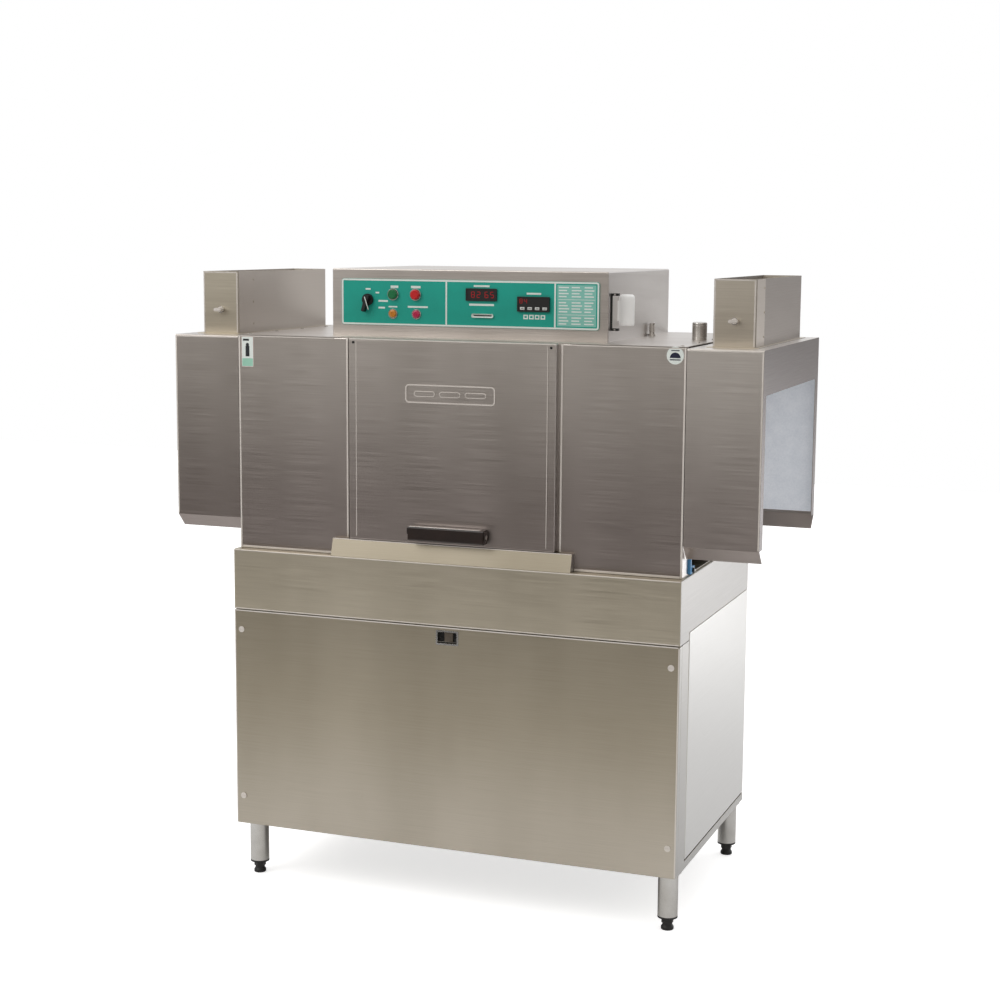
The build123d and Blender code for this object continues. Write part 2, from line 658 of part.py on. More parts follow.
with BuildPart() as control_fascia:
    with BuildSketch(Plane.XZ.offset(-fascia_front)):
        with Locations(((fascia_left + fascia_right) / 2, (fascia_low + fascia_high) / 2)):
            RectangleRounded(fascia_right - fascia_left, fascia_high - fascia_low,
                             fascia_round)
        with Locations(selector_place):
            Circle(selector_shaft + running, mode=Mode.SUBTRACT)
        with Locations(start_place, stop_place):
            Circle(button_hole, mode=Mode.SUBTRACT)
        with Locations(amber_place, red_place):
            Circle(lamp_radius + pipe_fit, mode=Mode.SUBTRACT)
        for (width, height), place in ((meter_size, meter_place),
                                       (controller_size, controller_place)):
            with Locations(place):
                Rectangle(width - 2 * body_inset + 0.6, height - 2 * body_inset + 0.6,
                          mode=Mode.SUBTRACT)
    extrude(amount=-fascia_thick)
pieces["control_fascia"] = control_fascia

with BuildPart() as button_bezels:
    with BuildSketch(Plane.XZ.offset(-fascia_front)):
        with Locations(start_place, stop_place):
            Circle(bezel_radius)
            Circle(button_hole, mode=Mode.SUBTRACT)
    extrude(amount=bezel_proud)
    with BuildSketch(Plane.XZ.offset(-fascia_front)):
        with Locations(amber_place, red_place):
            Circle(lamp_bezel)
            Circle(lamp_radius + pipe_fit, mode=Mode.SUBTRACT)
    extrude(amount=bezel_proud / 2)
pieces["button_bezels"] = button_bezels

button_depth = 34.0
for name, (x, z) in (("start_button", start_place), ("stop_button", stop_place)):
    with BuildPart() as button:
        rod((x, fascia_front - button_proud, z), (0, 1, 0), button_radius,
            button_proud + button_depth)
        fillet(edges().group_by(Axis.Y)[0], 2)
    pieces[name] = button

for name, (x, z) in (("amber_lamp", amber_place), ("red_lamp", red_place)):
    with BuildPart() as lamp:
        rod((x, fascia_front - 6, z), (0, 1, 0), lamp_radius, 40)
        fillet(edges().group_by(Axis.Y)[0], 4)
    pieces[name] = lamp

knob_tip = 31.0
knob_turn = 18.0         # the knob's beak points a little left of straight down
with BuildPart() as selector_knob:
    x, z = selector_place
    rod((x, fascia_front, z), (0, 1, 0), selector_shaft, 20)
    rod((x, fascia_front - 6, z), (0, 1, 0), selector_disc, 5.5)
    tip = (x - knob_tip * sin(radians(knob_turn)), z - knob_tip * cos(radians(knob_turn)))
    with BuildSketch(Plane.XZ.offset(-(fascia_front - 17))):
        with BuildLine():
            across = (cos(radians(knob_turn)), -sin(radians(knob_turn)))
            up = (sin(radians(knob_turn)), cos(radians(knob_turn)))
            Polyline((x - 6 * across[0] + 12 * up[0], z - 6 * across[1] + 12 * up[1]),
                     (x + 6 * across[0] + 12 * up[0], z + 6 * across[1] + 12 * up[1]),
                     (tip[0] + 3.5 * across[0], tip[1] + 3.5 * across[1]),
                     (tip[0] - 3.5 * across[0], tip[1] - 3.5 * across[1]), close=True)
        make_face()
    extrude(amount=-16.4)
    rod((x, fascia_front - 6, z), (0, 1, 0), selector_shaft, 8)
pieces["selector_knob"] = selector_knob

for name, (width, height), (x, z), proud, deep in (
        ("wash_thermometer", meter_size, meter_place, 4.0, 60.0),
        ("rinse_controller", controller_size, controller_place, 6.0, 80.0)):
    with BuildPart() as meter:
        slab(x - width / 2, x + width / 2, fascia_front - proud, fascia_front,
             z - height / 2, z + height / 2)
        fillet(edges().filter_by(Axis.Y), 2)
        slab(x - width / 2 + 3, x + width / 2 - 3, fascia_front - proud - 1,
             fascia_front - proud + 1, z - height / 2 + 3, z + height / 2 - 3,
             mode=Mode.SUBTRACT)
        slab(x - width / 2 + body_inset, x + width / 2 - body_inset, fascia_front,
             fascia_front + deep, z - height / 2 + body_inset, z + height / 2 - body_inset)
    pieces[name] = meter

contactor = (45.0, 85.0, 80.0)
din_rail_half, din_rail_width, din_rail_height = 320.0, 34.0, 8.0
contactor_count, contactor_pitch = 6, 58.0
with BuildPart() as contactors:
    rail_y = (box_front + box_back) / 2 + 40
    slab(-din_rail_half, din_rail_half, rail_y - din_rail_width / 2,
         rail_y + din_rail_width / 2, roof_height, roof_height + din_rail_height)
    with Locations((-80, rail_y, roof_height + din_rail_height + contactor[2] / 2)):
        with GridLocations(contactor_pitch, 1, contactor_count, 1):
            Box(*contactor)
pieces["contactors"] = contactors

# ------------------------------------------------------------------ fittings outside
bracket_front = base_front + 141.0
bracket_low, bracket_high = box_top - 143, box_top - 52
bracket_bar = 6.0
bracket_leg = 19.0
bracket_plate = 3.0
with BuildPart() as dosing_bracket:
    slab(box_half, box_half + bracket_plate, bracket_front, bracket_front + bracket_bar, bracket_low,
         bracket_high)
    for z in (bracket_low, bracket_high - bracket_bar):
        slab(box_half, box_half + bracket_leg, bracket_front, bracket_front + 2 * bracket_bar,
             z, z + bracket_bar)
pieces["dosing_bracket"] = dosing_bracket

dosing_radius = 19.0
dosing_low, dosing_high = box_top - 133, box_top - 56
dosing_y = base_front + 207.0
dosing_dome, dosing_foot, dosing_block = 8.0, 3.0, 10.0
with BuildPart() as dosing_pump:
    x = box_half + dosing_radius + 2
    rod((x, dosing_y, dosing_low), (0, 0, 1), dosing_radius, dosing_high - dosing_low)
    fillet(edges().group_by(Axis.Z)[-1], dosing_dome)
    fillet(edges().group_by(Axis.Z)[0], dosing_foot)
    slab(box_half, x, dosing_y - dosing_block, dosing_y + dosing_block, dosing_low + 12,
         dosing_high - 16)
pieces["dosing_pump"] = dosing_pump

cap_place = (chamber_half - 48.5, base_front + 330, roof_height)
cap_radius, cap_height, cap_round = 18.5, 45.0, 4.0
spigot_place = (box_half + 11, base_front + 470)
spigot_radius, spigot_height = 7.0, 28.0
spigot_nut, spigot_nut_height = 10.0, 5.0
with BuildPart() as roof_fittings:
    rod(cap_place, (0, 0, 1), cap_radius, cap_height)
    fillet(edges().group_by(Axis.Z)[-1], cap_round)
    rod((*spigot_place, roof_height), (0, 0, 1), spigot_nut, spigot_nut_height)
    rod((*spigot_place, roof_height + spigot_nut_height), (0, 0, 1), spigot_radius,
        spigot_height)
pieces["roof_fittings"] = roof_fittings

# ------------------------------------------------------------------ rack track and drive
track_half = chamber_half - 3.5
rail_plate = 3.0
guide_height = 20.0
rail_shelf = 30.0
rack_play = 10.0
rail_line = rack / 2 + rack_play          # from the middle to the side guide's inner face
bar_half = 20.0
bar_flat = 6.0
bar_low, bar_high = rim_height + 3, rail_top - 2
beam_places = (-200.0, 60.0)
beam_half, beam_depth = 10.0, 8.0
hanger, cheek = 6.0, 5.0
foot_half = 15.0
foot_places = (-500.0, -160.0, 130.0, 500.0)

with BuildPart() as rack_rails:
    for s in (-1, 1):
        y_in = rack_middle + s * rail_line
        y_out = y_in + s * rail_plate
        y_shelf = y_in - s * rail_shelf
        slab(-track_half, track_half, min(y_in, y_out), max(y_in, y_out),
             rail_top - rail_plate, rail_top + guide_height)
        slab(-track_half, track_half, min(y_out, y_shelf), max(y_out, y_shelf),
             rail_top - rail_plate, rail_top)
        for x in foot_places:
            y_foot = hood_front + panel_return + 2 if s < 0 else well_back + 5
            slab(x - foot_half, x + foot_half, min(y_in, y_out), max(y_in, y_out),
                 rim_height, rail_top - rail_plate)
            slab(x - foot_half, x + foot_half, min(y_in, y_foot), max(y_in, y_foot), rim_height,
                 rim_height + rail_plate)
        for x in beam_places:
            slab(x - beam_half, x + beam_half, min(y_in, y_in - s * hanger),
                 max(y_in, y_in - s * hanger), rim_height - beam_depth, rail_top - rail_plate)
    # two beams carry the pusher bar between low cheeks
    for x in beam_places:
        slab(x - beam_half, x + beam_half, rack_middle - rail_line, rack_middle + rail_line,
             rim_height - beam_depth, rim_height)
        slab(x - beam_half, x + beam_half, rack_middle - bar_half - cheek,
             rack_middle + bar_half + cheek, rim_height, bar_low - 0.3)
        for s in (-1, 1):
            a, b = rack_middle + s * (bar_half + 1), rack_middle + s * (bar_half + cheek)
            slab(x - beam_half, x + beam_half, min(a, b), max(a, b), bar_low - 0.5, bar_high - 4)
pieces["rack_rails"] = rack_rails

with BuildPart() as rail_end_caps:
    for sx in (-1, 1):
        for sy in (-1, 1):
            a, b = sx * track_half, sx * (track_half + 9)
            y_in = rack_middle + sy * (rail_line - rail_shelf)
            y_out = rack_middle + sy * (rail_line + rail_plate + 3)
            slab(min(a, b), max(a, b), min(y_in, y_out), max(y_in, y_out),
                 passage_bottom + 0.5, rail_top)
            y_in = rack_middle + sy * (rail_line - 2)
            slab(min(a, b), max(a, b), min(y_in, y_out), max(y_in, y_out), rail_top,
                 rail_top + guide_height)
pieces["rail_end_caps"] = rail_end_caps

bar_start, bar_end = 15 - track_half, crank_x - 60
bar_spacer = 20.0
pawl_pin = 4.0
pawl_height = rim_height + 10
pawl_places = {"entry_pawl": -450.0, "exit_pawl": 150.0}
pawl_half = 9.0
with BuildPart() as pawl_bar:
    for s in (-1, 1):
        a, b = rack_middle + s * bar_half, rack_middle + s * (bar_half - bar_flat)
        slab(bar_start, bar_end, min(a, b), max(a, b), bar_low, bar_high)
    for x in (bar_start, -130.0, bar_end - bar_spacer):
        slab(x, x + bar_spacer, rack_middle - bar_half, rack_middle + bar_half, bar_low, bar_high)
    for x in pawl_places.values():
        rod((x, rack_middle - bar_half, pawl_height), (0, 1, 0), pawl_pin, 2 * bar_half)
pieces["pawl_bar"] = pawl_bar

for name, x in pawl_places.items():
    with BuildPart() as pawl:
        z = pawl_height
        with BuildSketch(Plane.XZ.offset(-(rack_middle - pawl_half))):
            # driving nose ahead of the pin, heavier tail behind it
            with BuildLine():
                Polyline((x - 7, z + 7), (x + 12, z + 26), (x + 22, z + 26), (x + 24, z + 10),
                         (x + 8, z - 8), (x - 18, z - 14), (x - 36, z - 24),
                         (x - 40, z - 16), (x - 20, z - 1), close=True)
            make_face()
            with Locations((x, z)):
                Circle(pawl_pin + running, mode=Mode.SUBTRACT)
        extrude(amount=-2 * pawl_half)
    pieces[name] = pawl

gear_half = 40.0
gear_low, gear_high = rim_height - 246, rim_height - 146
gear_round = 6.0
gear_arm_half, gear_arm_low, gear_arm_high = 20.0, gear_high - 50, gear_high - 20
motor_radius, motor_low = 45.0, rim_height - 386
crank_shaft = 9.0
crank_throw = 40.0
with BuildPart() as gearmotor:
    slab(crank_x - gear_half, crank_x + gear_half, crank_y - gear_half, crank_y + gear_half,
         gear_low, gear_high)
    fillet(edges().filter_by(Axis.Z), gear_round)
    rod((crank_x, crank_y, motor_low), (0, 0, 1), motor_radius, gear_low - motor_low)
    slab(tank_right, crank_x - gear_half, crank_y - gear_arm_half, crank_y + gear_arm_half,
         gear_arm_low, gear_arm_high)
    rod((crank_x, crank_y, gear_high - 50), (0, 0, 1), crank_shaft + running, 51,
        mode=Mode.SUBTRACT)
pieces["gearmotor"] = gearmotor

crank_pin, crank_pin_height = 6.0, 5.0
crank_disc, crank_low, crank_high = 54.0, rim_height - 12, rim_height - 4
with BuildPart() as drive_crank:
    rod((crank_x, crank_y, gear_high - 48), (0, 0, 1), crank_shaft, crank_low - gear_high + 48)
    rod((crank_x, crank_y, crank_low), (0, 0, 1), crank_disc, crank_high - crank_low)
    rod((crank_x + crank_throw, crank_y, crank_high), (0, 0, 1), crank_pin,
        crank_pin_height)
pieces["drive_crank"] = drive_crank

# ------------------------------------------------------------------ wash and rinse pipes
lower_pipe, upper_pipe = rim_height - 36, roof_height - 50
wash_places = (-400.0, -180.0, 40.0)
wash_arm_radius = 12.0
arm_front = base_front + 100.0
manifold_left = -420.0
nozzle_radius, nozzle_length, nozzle_sunk = 5.0, 8.0, 3.0
with BuildPart() as wash_arms:
    rod((riser_x, riser_y, tank_floor - sheet), (0, 0, 1), riser_radius,
        upper_pipe - tank_floor + sheet + riser_radius)
    for z, way in ((lower_pipe, 1), (upper_pipe, -1)):
        rod((manifold_left, riser_y, z), (1, 0, 0), riser_radius, riser_x - manifold_left)
        for x in wash_places:
            rod((x, arm_front, z), (0, 1, 0), wash_arm_radius, riser_y - arm_front)
            for y in range(5):
                place = (x, arm_front + 50 + 100 * y, z + way * (wash_arm_radius - nozzle_sunk))
                rod(place, (0, 0, way), nozzle_radius, nozzle_length)
pieces["wash_arms"] = wash_arms

rinse_x, rinse_y, rinse_radius = 300.0, base_back - 60, 9.0
with BuildPart() as rinse_arms:
    rod((rinse_x, rinse_y, lower_pipe), (0, 0, 1), rinse_radius, panel_top - lower_pipe)
    for z, way in ((lower_pipe, 1), (upper_pipe, -1)):
        rod((rinse_x, arm_front, z), (0, 1, 0), rinse_radius, rinse_y - arm_front)
        for y in range(6):
            place = (rinse_x, arm_front + 30 + 90 * y, z + way * (rinse_radius - nozzle_sunk))
            rod(place, (0, 0, way), nozzle_radius - 1, nozzle_length)
pieces["rinse_arms"] = rinse_arms

# ------------------------------------------------------------------ wash pump
pump_height = tank_floor - 130
volute_left, volute_right = 178.0, 222.0
volute_radius = 75.0
chamber_radius = 62.0
volute_wall = 6.0
pipe_wall = 4.0
pump_shaft = 8.0
floor_under = tank_floor - sheet
with BuildPart() as pump_housing:
    rod((volute_left, pump_y, pump_height), (1, 0, 0), volute_radius,
        volute_right - volute_left)
    rod((suction_x, pump_y, pump_height), (1, 0, 0), suction_bore + pipe_wall,
        volute_left - suction_x)
    rod((suction_x, pump_y, pump_height), (0, 0, 1), suction_bore + pipe_wall,
        floor_under - pump_height)
    with Locations((suction_x, pump_y, pump_height)):
        Sphere(suction_bore + pipe_wall)
    rod((riser_x, riser_y, pump_height), (0, 0, 1), riser_radius, floor_under - pump_height)
    rod((volute_left + volute_wall, pump_y, pump_height), (1, 0, 0), chamber_radius,
        volute_right - volute_left - 2 * volute_wall, mode=Mode.SUBTRACT)
    rod((suction_x, pump_y, pump_height), (1, 0, 0), suction_bore,
        volute_left + volute_wall - suction_x + 1, mode=Mode.SUBTRACT)
    rod((suction_x, pump_y, pump_height), (0, 0, 1), suction_bore,
        floor_under - pump_height + 1, mode=Mode.SUBTRACT)
    rod((riser_x, riser_y, pump_height + 20), (0, 0, 1), riser_radius - 3,
        floor_under - pump_height, mode=Mode.SUBTRACT)
    rod((volute_right - volute_wall - 1, pump_y, pump_height), (1, 0, 0),
        pump_shaft + running, volute_wall + 2, mode=Mode.SUBTRACT)
pieces["pump_housing"] = pump_housing

impeller_left, impeller_plate = volute_left + volute_wall + 8, 4.0
hub_radius, hub_length = 14.0, 14.0
vane_count, vane_size, vane_place = 5, (44.0, 4.0), 32.0
shaft_length = 110.0
with BuildPart() as pump_impeller:
    rod((impeller_left + 12, pump_y, pump_height), (1, 0, 0), chamber_radius - 6,
        impeller_plate)
    rod((impeller_left, pump_y, pump_height), (1, 0, 0), hub_radius, hub_length)
    with BuildSketch(Plane(origin=(impeller_left, pump_y, pump_height), x_dir=(0, 1, 0),
                           z_dir=(1, 0, 0))):
        with PolarLocations(0, vane_count):
            with Locations((vane_place, 0)):
                Rectangle(*vane_size)
    extrude(amount=12.5)
    rod((impeller_left, pump_y, pump_height), (1, 0, 0), pump_shaft, shaft_length)
pieces["pump_impeller"] = pump_impeller

motor_x0, motor_x1 = 232.0, 452.0
motor_collar, motor_body = 50.0, 66.0
fin_count, fin_size, fin_place, fin_length = 24, (10.0, 3.0), 68.0, 150.0
terminal_half, terminal_low, terminal_high = 35.0, 60.0, 95.0
with BuildPart() as pump_motor:
    rod((volute_right, pump_y, pump_height), (1, 0, 0), motor_collar,
        motor_x0 - volute_right)
    rod((motor_x0, pump_y, pump_height), (1, 0, 0), motor_body, motor_x1 - motor_x0)
    with BuildSketch(Plane(origin=(motor_x0 + 20, pump_y, pump_height), x_dir=(0, 1, 0),
                           z_dir=(1, 0, 0))):
        with PolarLocations(0, fin_count):
            with Locations((fin_place, 0)):
                Rectangle(*fin_size)
    extrude(amount=fin_length)
    slab(motor_x0 + 50, motor_x0 + 130, pump_y - terminal_half, pump_y + terminal_half,
         pump_height + terminal_low, pump_height + terminal_high)
    rod((volute_right, pump_y, pump_height), (1, 0, 0), pump_shaft + running, 90,
        mode=Mode.SUBTRACT)
pieces["pump_motor"] = pump_motor

# ------------------------------------------------------------------ write every piece
os.makedirs("parts", exist_ok=True)
for name, piece in pieces.items():
    piece.part.label = name
    export_step(piece.part, f"parts/{name}.step")
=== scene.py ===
"""Looks of a rack-conveyor commercial dishwasher, built around its CAD solids.

Everything is in metres, in the CAD frame: +X to the exit end, +Y to the back, +Z up.
"""
import json
import math

import bpy
from mathutils import Matrix, Vector


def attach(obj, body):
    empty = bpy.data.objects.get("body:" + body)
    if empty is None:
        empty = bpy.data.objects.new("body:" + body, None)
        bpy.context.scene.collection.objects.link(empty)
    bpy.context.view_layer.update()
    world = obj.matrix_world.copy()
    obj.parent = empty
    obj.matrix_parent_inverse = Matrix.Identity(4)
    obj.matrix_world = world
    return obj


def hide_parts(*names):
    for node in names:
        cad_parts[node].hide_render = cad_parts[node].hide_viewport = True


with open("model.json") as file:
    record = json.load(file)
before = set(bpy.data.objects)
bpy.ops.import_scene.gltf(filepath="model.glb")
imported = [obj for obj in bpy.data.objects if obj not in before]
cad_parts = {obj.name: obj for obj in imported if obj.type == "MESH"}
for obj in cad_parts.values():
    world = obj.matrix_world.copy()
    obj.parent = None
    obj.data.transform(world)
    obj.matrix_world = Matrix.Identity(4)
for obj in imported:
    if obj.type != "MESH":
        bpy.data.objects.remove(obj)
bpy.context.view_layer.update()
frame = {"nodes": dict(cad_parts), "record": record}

mm = 0.001
scene = bpy.context.scene
nodes = frame["nodes"]


# ------------------------------------------------------------------ camera, floor and light
def make_camera():
    """To the right of the machine and a little above its roof, through a long lens."""
    stand = (1.7175, -4.5280, 1.6928)
    turn, down, roll = 20.664, 8.110, 0.405     # degrees
    data = bpy.data.cameras.new("camera")
    data.lens, data.sensor_width, data.clip_end = 66.53, 36.0, 100.0
    camera = bpy.data.objects.new("camera", data)
    scene.collection.objects.link(camera)
    look = (Matrix.Rotation(math.radians(turn), 4, "Z")
            @ Matrix.Rotation(math.radians(90 - down), 4, "X")
            @ Matrix.Rotation(math.radians(roll), 4, "Z"))
    camera.matrix_world = Matrix.Translation(stand) @ look
    scene.camera = camera


def make_light():
    """A pale room: bright behind the machine, dimmer on the operator's side, two soft boxes."""
    world = bpy.data.worlds.new("studio")
    scene.world = world
    world.use_nodes = True
    tree = world.node_tree
    tree.nodes.clear()
    place = add(tree, "ShaderNodeTexCoord")
    axes = add(tree, "ShaderNodeSeparateXYZ", {"Vector": place.outputs["Generated"]})
    depth = add(tree, "ShaderNodeMapRange", {"Value": axes.outputs["Y"], "From Min": -0.9,
                "From Max": 0.7, "To Min": 0.0, "To Max": 1.0})
    height = add(tree, "ShaderNodeMapRange", {"Value": axes.outputs["Z"], "From Min": -0.35,
                 "From Max": 0.5, "To Min": 0.0, "To Max": 1.0})
    front = ramp(tree, height, ((0.0, "2a2724"), (1.0, "c9c6c2"), (0.22, "2f2b28"),
                                (0.32, "625d59"), (0.40, "a8a39f"), (0.52, "e2deda"),
                                (0.75, "d5d2cf")))
    back = ramp(tree, height, ((0.16, "ffffff"), (0.48, "f6f7f9"), (0.27, "9c9894"),
                               (0.40, "989490")))
    room = add(tree, "ShaderNodeMix", {"Factor": depth.outputs["Result"],
               "A": front.outputs["Color"], "B": back.outputs["Color"]}, data_type="RGBA")
    light = add(tree, "ShaderNodeBackground", {"Color": room.outputs["Result"],
                "Strength": 1.0})
    sheet = add(tree, "ShaderNodeBackground", {"Color": colour("ffffff"), "Strength": 1.0})
    seen = add(tree, "ShaderNodeLightPath")
    both = add(tree, "ShaderNodeMixShader", {0: seen.outputs["Is Camera Ray"],
               1: light.outputs["Background"], 2: sheet.outputs["Background"]})
    add(tree, "ShaderNodeOutputWorld", {"Surface": both.outputs["Shader"]})
    for name, place, size, power in (("key", (-2.6, -3.2, 4.2), 3.0, 70.0),
                                     ("low", (2.6, 3.2, 0.5), 1.2, 14.0)):
        data = bpy.data.lights.new(name, "AREA")
        data.size, data.energy = size, power
        lamp = bpy.data.objects.new(name, data)
        scene.collection.objects.link(lamp)
        aim = Vector((0.0, 0.0, 0.9)) - Vector(place)
        lamp.matrix_world = (Matrix.Translation(place)
                             @ aim.to_track_quat("-Z", "Y").to_matrix().to_4x4())


def ramp(tree, height, tones):
    """The room's tone by height. The lowest and the highest stop come first."""
    made = add(tree, "ShaderNodeValToRGB", {"Fac": height.outputs["Result"]})
    stops = made.color_ramp.elements
    for stop, (at, tone) in zip(stops, tones):
        stop.position, stop.color = at, colour(tone)
    for at, tone in tones[2:]:
        stops.new(at).color = colour(tone)
    return made


def make_floor():
    """A plain pale floor under the machine."""
    deselect()
    bpy.ops.mesh.primitive_plane_add(size=1, location=(0, 2.7, -0.0005))
    floor = bpy.context.object
    floor.name = "floor"
    floor.scale = (16, 11, 1)
    bpy.ops.object.transform_apply(location=True, scale=True)
    floor.data.materials.append(pale_floor())


# ------------------------------------------------------------------ small helpers
def colour(code):
    """An sRGB hex code as linear red, green, blue and alpha."""
    parts = [int(code[i:i + 2], 16) / 255 for i in (0, 2, 4)]
    return tuple(p / 12.92 if p <= 0.04045 else ((p + 0.055) / 1.055) ** 2.4
                 for p in parts) + (1.0,)


def add(tree, kind, inputs=None, **settings):
    """Adds one node with its settings. An input is a value, or another node's output."""
    made = tree.nodes.new(kind)
    for name, value in settings.items():
        setattr(made, name, value)
    mixes_colour = settings.get("data_type") == "RGBA"
    for socket, value in (inputs or {}).items():
        if mixes_colour and socket in ("A", "B"):
            target = made.inputs[6 if socket == "A" else 7]
        else:
            target = made.inputs[socket]
        if isinstance(value, bpy.types.NodeSocket):
            tree.links.new(value, target)
        else:
            target.default_value = value
    return made


def result(made):
    """The colour output of a mixing node."""
    return made.outputs[2]


def deselect():
    bpy.ops.object.select_all(action="DESELECT")


def take(piece):
    """Makes one piece the only selected and the active one."""
    deselect()
    piece.select_set(True)
    bpy.context.view_layer.objects.active = piece


def new_material(name):
    """An empty material: its tree and its surface shader."""
    made = bpy.data.materials.new(name)
    made.use_nodes = True
    tree = made.node_tree
    return made, tree, tree.nodes["Principled BSDF"]


def brushed_sheet(name, light, dark, rough, painted_height_shade, painted_end_shade, grain_across=1.3, tone=0.55):
    """Stainless sheet with a brushed finish: fine streaks along the sheet, a soft uneven
    tone and a satin gloss. The grain is about 0.2 mm in truth, drawn coarser to show.
    The painted height shade is two heights and the tones there: painted light and shade up
    the machine, for how the light falls. Faces turned to the ends take a painted shade tone."""
    made, tree, shader = new_material(name)
    place = add(tree, "ShaderNodeTexCoord").outputs["Object"]
    facing = add(tree, "ShaderNodeNewGeometry").outputs["Normal"]
    up = add(tree, "ShaderNodeSeparateXYZ", {"Vector": facing}).outputs["Z"]
    flat = add(tree, "ShaderNodeMath", {0: up}, operation="ABSOLUTE").outputs[0]
    flat = add(tree, "ShaderNodeMath", {0: flat, 1: 0.7}, operation="GREATER_THAN").outputs[0]
    across, along = 1 / (grain_across * mm), 1 / (160 * mm)
    wall_map = add(tree, "ShaderNodeMapping", {"Vector": place, "Scale": (along, along, across)})
    top_map = add(tree, "ShaderNodeMapping", {"Vector": place, "Scale": (along, across, along)})
    streaks = [add(tree, "ShaderNodeTexNoise", {"Vector": m.outputs["Vector"], "Scale": 1.0,
                   "Detail": 3.0, "Roughness": 0.6}).outputs["Fac"]
               for m in (wall_map, top_map)]
    grain = add(tree, "ShaderNodeMix", {"Factor": flat, "A": streaks[0], "B": streaks[1]},
                data_type="FLOAT").outputs[0]
    cloud_map = add(tree, "ShaderNodeMapping", {"Vector": place, "Scale": (5.0, 5.0, 1.6)})
    cloud = add(tree, "ShaderNodeTexNoise", {"Vector": cloud_map.outputs["Vector"],
                "Scale": 1.0, "Detail": 2.0}).outputs["Fac"]
    mixed = add(tree, "ShaderNodeMix", {"Factor": tone, "A": grain, "B": cloud},
                data_type="FLOAT").outputs[0]
    shade = add(tree, "ShaderNodeMapRange", {"Value": mixed, "From Min": 0.3, "From Max": 0.7})
    tint = add(tree, "ShaderNodeMix", {"Factor": shade.outputs["Result"], "A": colour(dark),
               "B": colour(light)}, data_type="RGBA")
    # painted light and shade by height: the low and high tones lighten or darken the sheet up the
    # machine for how the room's light falls on it
    low, high, low_painted_tone, high_painted_tone = painted_height_shade
    rise = add(tree, "ShaderNodeMapRange", {"Value": add(tree, "ShaderNodeSeparateXYZ",
               {"Vector": place}).outputs["Z"], "From Min": low, "From Max": high},
               interpolation_type="SMOOTHSTEP")
    painted_height_tint = add(tree, "ShaderNodeMix", {"Factor": rise.outputs["Result"],
                "A": colour(low_painted_tone), "B": colour(high_painted_tone)}, data_type="RGBA")
    toned = add(tree, "ShaderNodeMix", {"Factor": 1.0, "A": result(tint),
                "B": result(painted_height_tint)}, data_type="RGBA", blend_type="MULTIPLY")
    # painted light and shade on faces turned to the ends: they take one tone for the light that
    # falls on them there
    across_x = add(tree, "ShaderNodeSeparateXYZ", {"Vector": facing}).outputs["X"]
    across_x = add(tree, "ShaderNodeMath", {0: across_x}, operation="ABSOLUTE").outputs[0]
    turned = add(tree, "ShaderNodeMapRange", {"Value": across_x, "From Min": 0.6,
                 "From Max": 0.9})
    sided = add(tree, "ShaderNodeMix", {"Factor": turned.outputs["Result"],
                "A": result(toned), "B": colour(painted_end_shade)}, data_type="RGBA")
    tree.links.new(result(sided), shader.inputs["Base Color"])
    gloss = add(tree, "ShaderNodeMapRange", {"Value": grain, "From Min": 0.3, "From Max": 0.7,
                "To Min": rough - 0.05, "To Max": rough + 0.07})
    tree.links.new(gloss.outputs["Result"], shader.inputs["Roughness"])
    relief = add(tree, "ShaderNodeBump", {"Height": grain, "Strength": 0.12,
                 "Distance": 0.05 * mm})
    tree.links.new(relief.outputs["Normal"], shader.inputs["Normal"])
    shader.inputs["Metallic"].default_value = 1.0
    return made


def moulded(name, main, shade_to, rough, grain=0.8, relief=0.2, metallic=0.0, coat=0.0):
    """Moulded or painted stock: a faintly uneven colour over a fine skin texture."""
    made, tree, shader = new_material(name)
    place = add(tree, "ShaderNodeTexCoord").outputs["Object"]
    skin = add(tree, "ShaderNodeTexNoise", {"Vector": place, "Scale": 1 / (grain * mm),
               "Detail": 3.0}).outputs["Fac"]
    wide = add(tree, "ShaderNodeTexNoise", {"Vector": place, "Scale": 1 / (40 * mm),
               "Detail": 2.0}).outputs["Fac"]
    mixed = add(tree, "ShaderNodeMix", {"Factor": 0.5, "A": skin, "B": wide},
                data_type="FLOAT").outputs[0]
    shade = add(tree, "ShaderNodeMapRange", {"Value": mixed, "From Min": 0.3, "From Max": 0.7})
    tint = add(tree, "ShaderNodeMix", {"Factor": shade.outputs["Result"], "A": colour(shade_to),
               "B": colour(main)}, data_type="RGBA")
    tree.links.new(result(tint), shader.inputs["Base Color"])
    gloss = add(tree, "ShaderNodeMapRange", {"Value": skin, "From Min": 0.3, "From Max": 0.7,
                "To Min": max(rough - 0.05, 0.02), "To Max": rough + 0.06})
    tree.links.new(gloss.outputs["Result"], shader.inputs["Roughness"])
    bump = add(tree, "ShaderNodeBump", {"Height": skin, "Strength": relief,
               "Distance": 0.05 * mm})
    tree.links.new(bump.outputs["Normal"], shader.inputs["Normal"])
    shader.inputs["Metallic"].default_value = metallic
    shader.inputs["Coat Weight"].default_value = coat
    return made


def lit(made, tone, strength):
    """Lets a material give off a little light of one colour."""
    shader = made.node_tree.nodes["Principled BSDF"]
    shader.inputs["Emission Color"].default_value = colour(tone)
    shader.inputs["Emission Strength"].default_value = strength


def pale_floor():
    """Matt white studio sheet, lit nearly to white, with only a faint contact shadow."""
    made, tree, shader = new_material("studio_floor")
    shader.inputs["Base Color"].default_value = colour("f8f8f8")
    shader.inputs["Roughness"].default_value = 0.9
    seen = add(tree, "ShaderNodeLightPath").outputs["Is Camera Ray"]
    glow = add(tree, "ShaderNodeMath", {0: seen, 1: 0.62}, operation="MULTIPLY")
    tree.links.new(glow.outputs[0], shader.inputs["Emission Strength"])
    shader.inputs["Emission Color"].default_value = colour("ffffff")
    return made


make_camera()
make_light()
make_floor()
scene.view_settings.view_transform = "Standard"
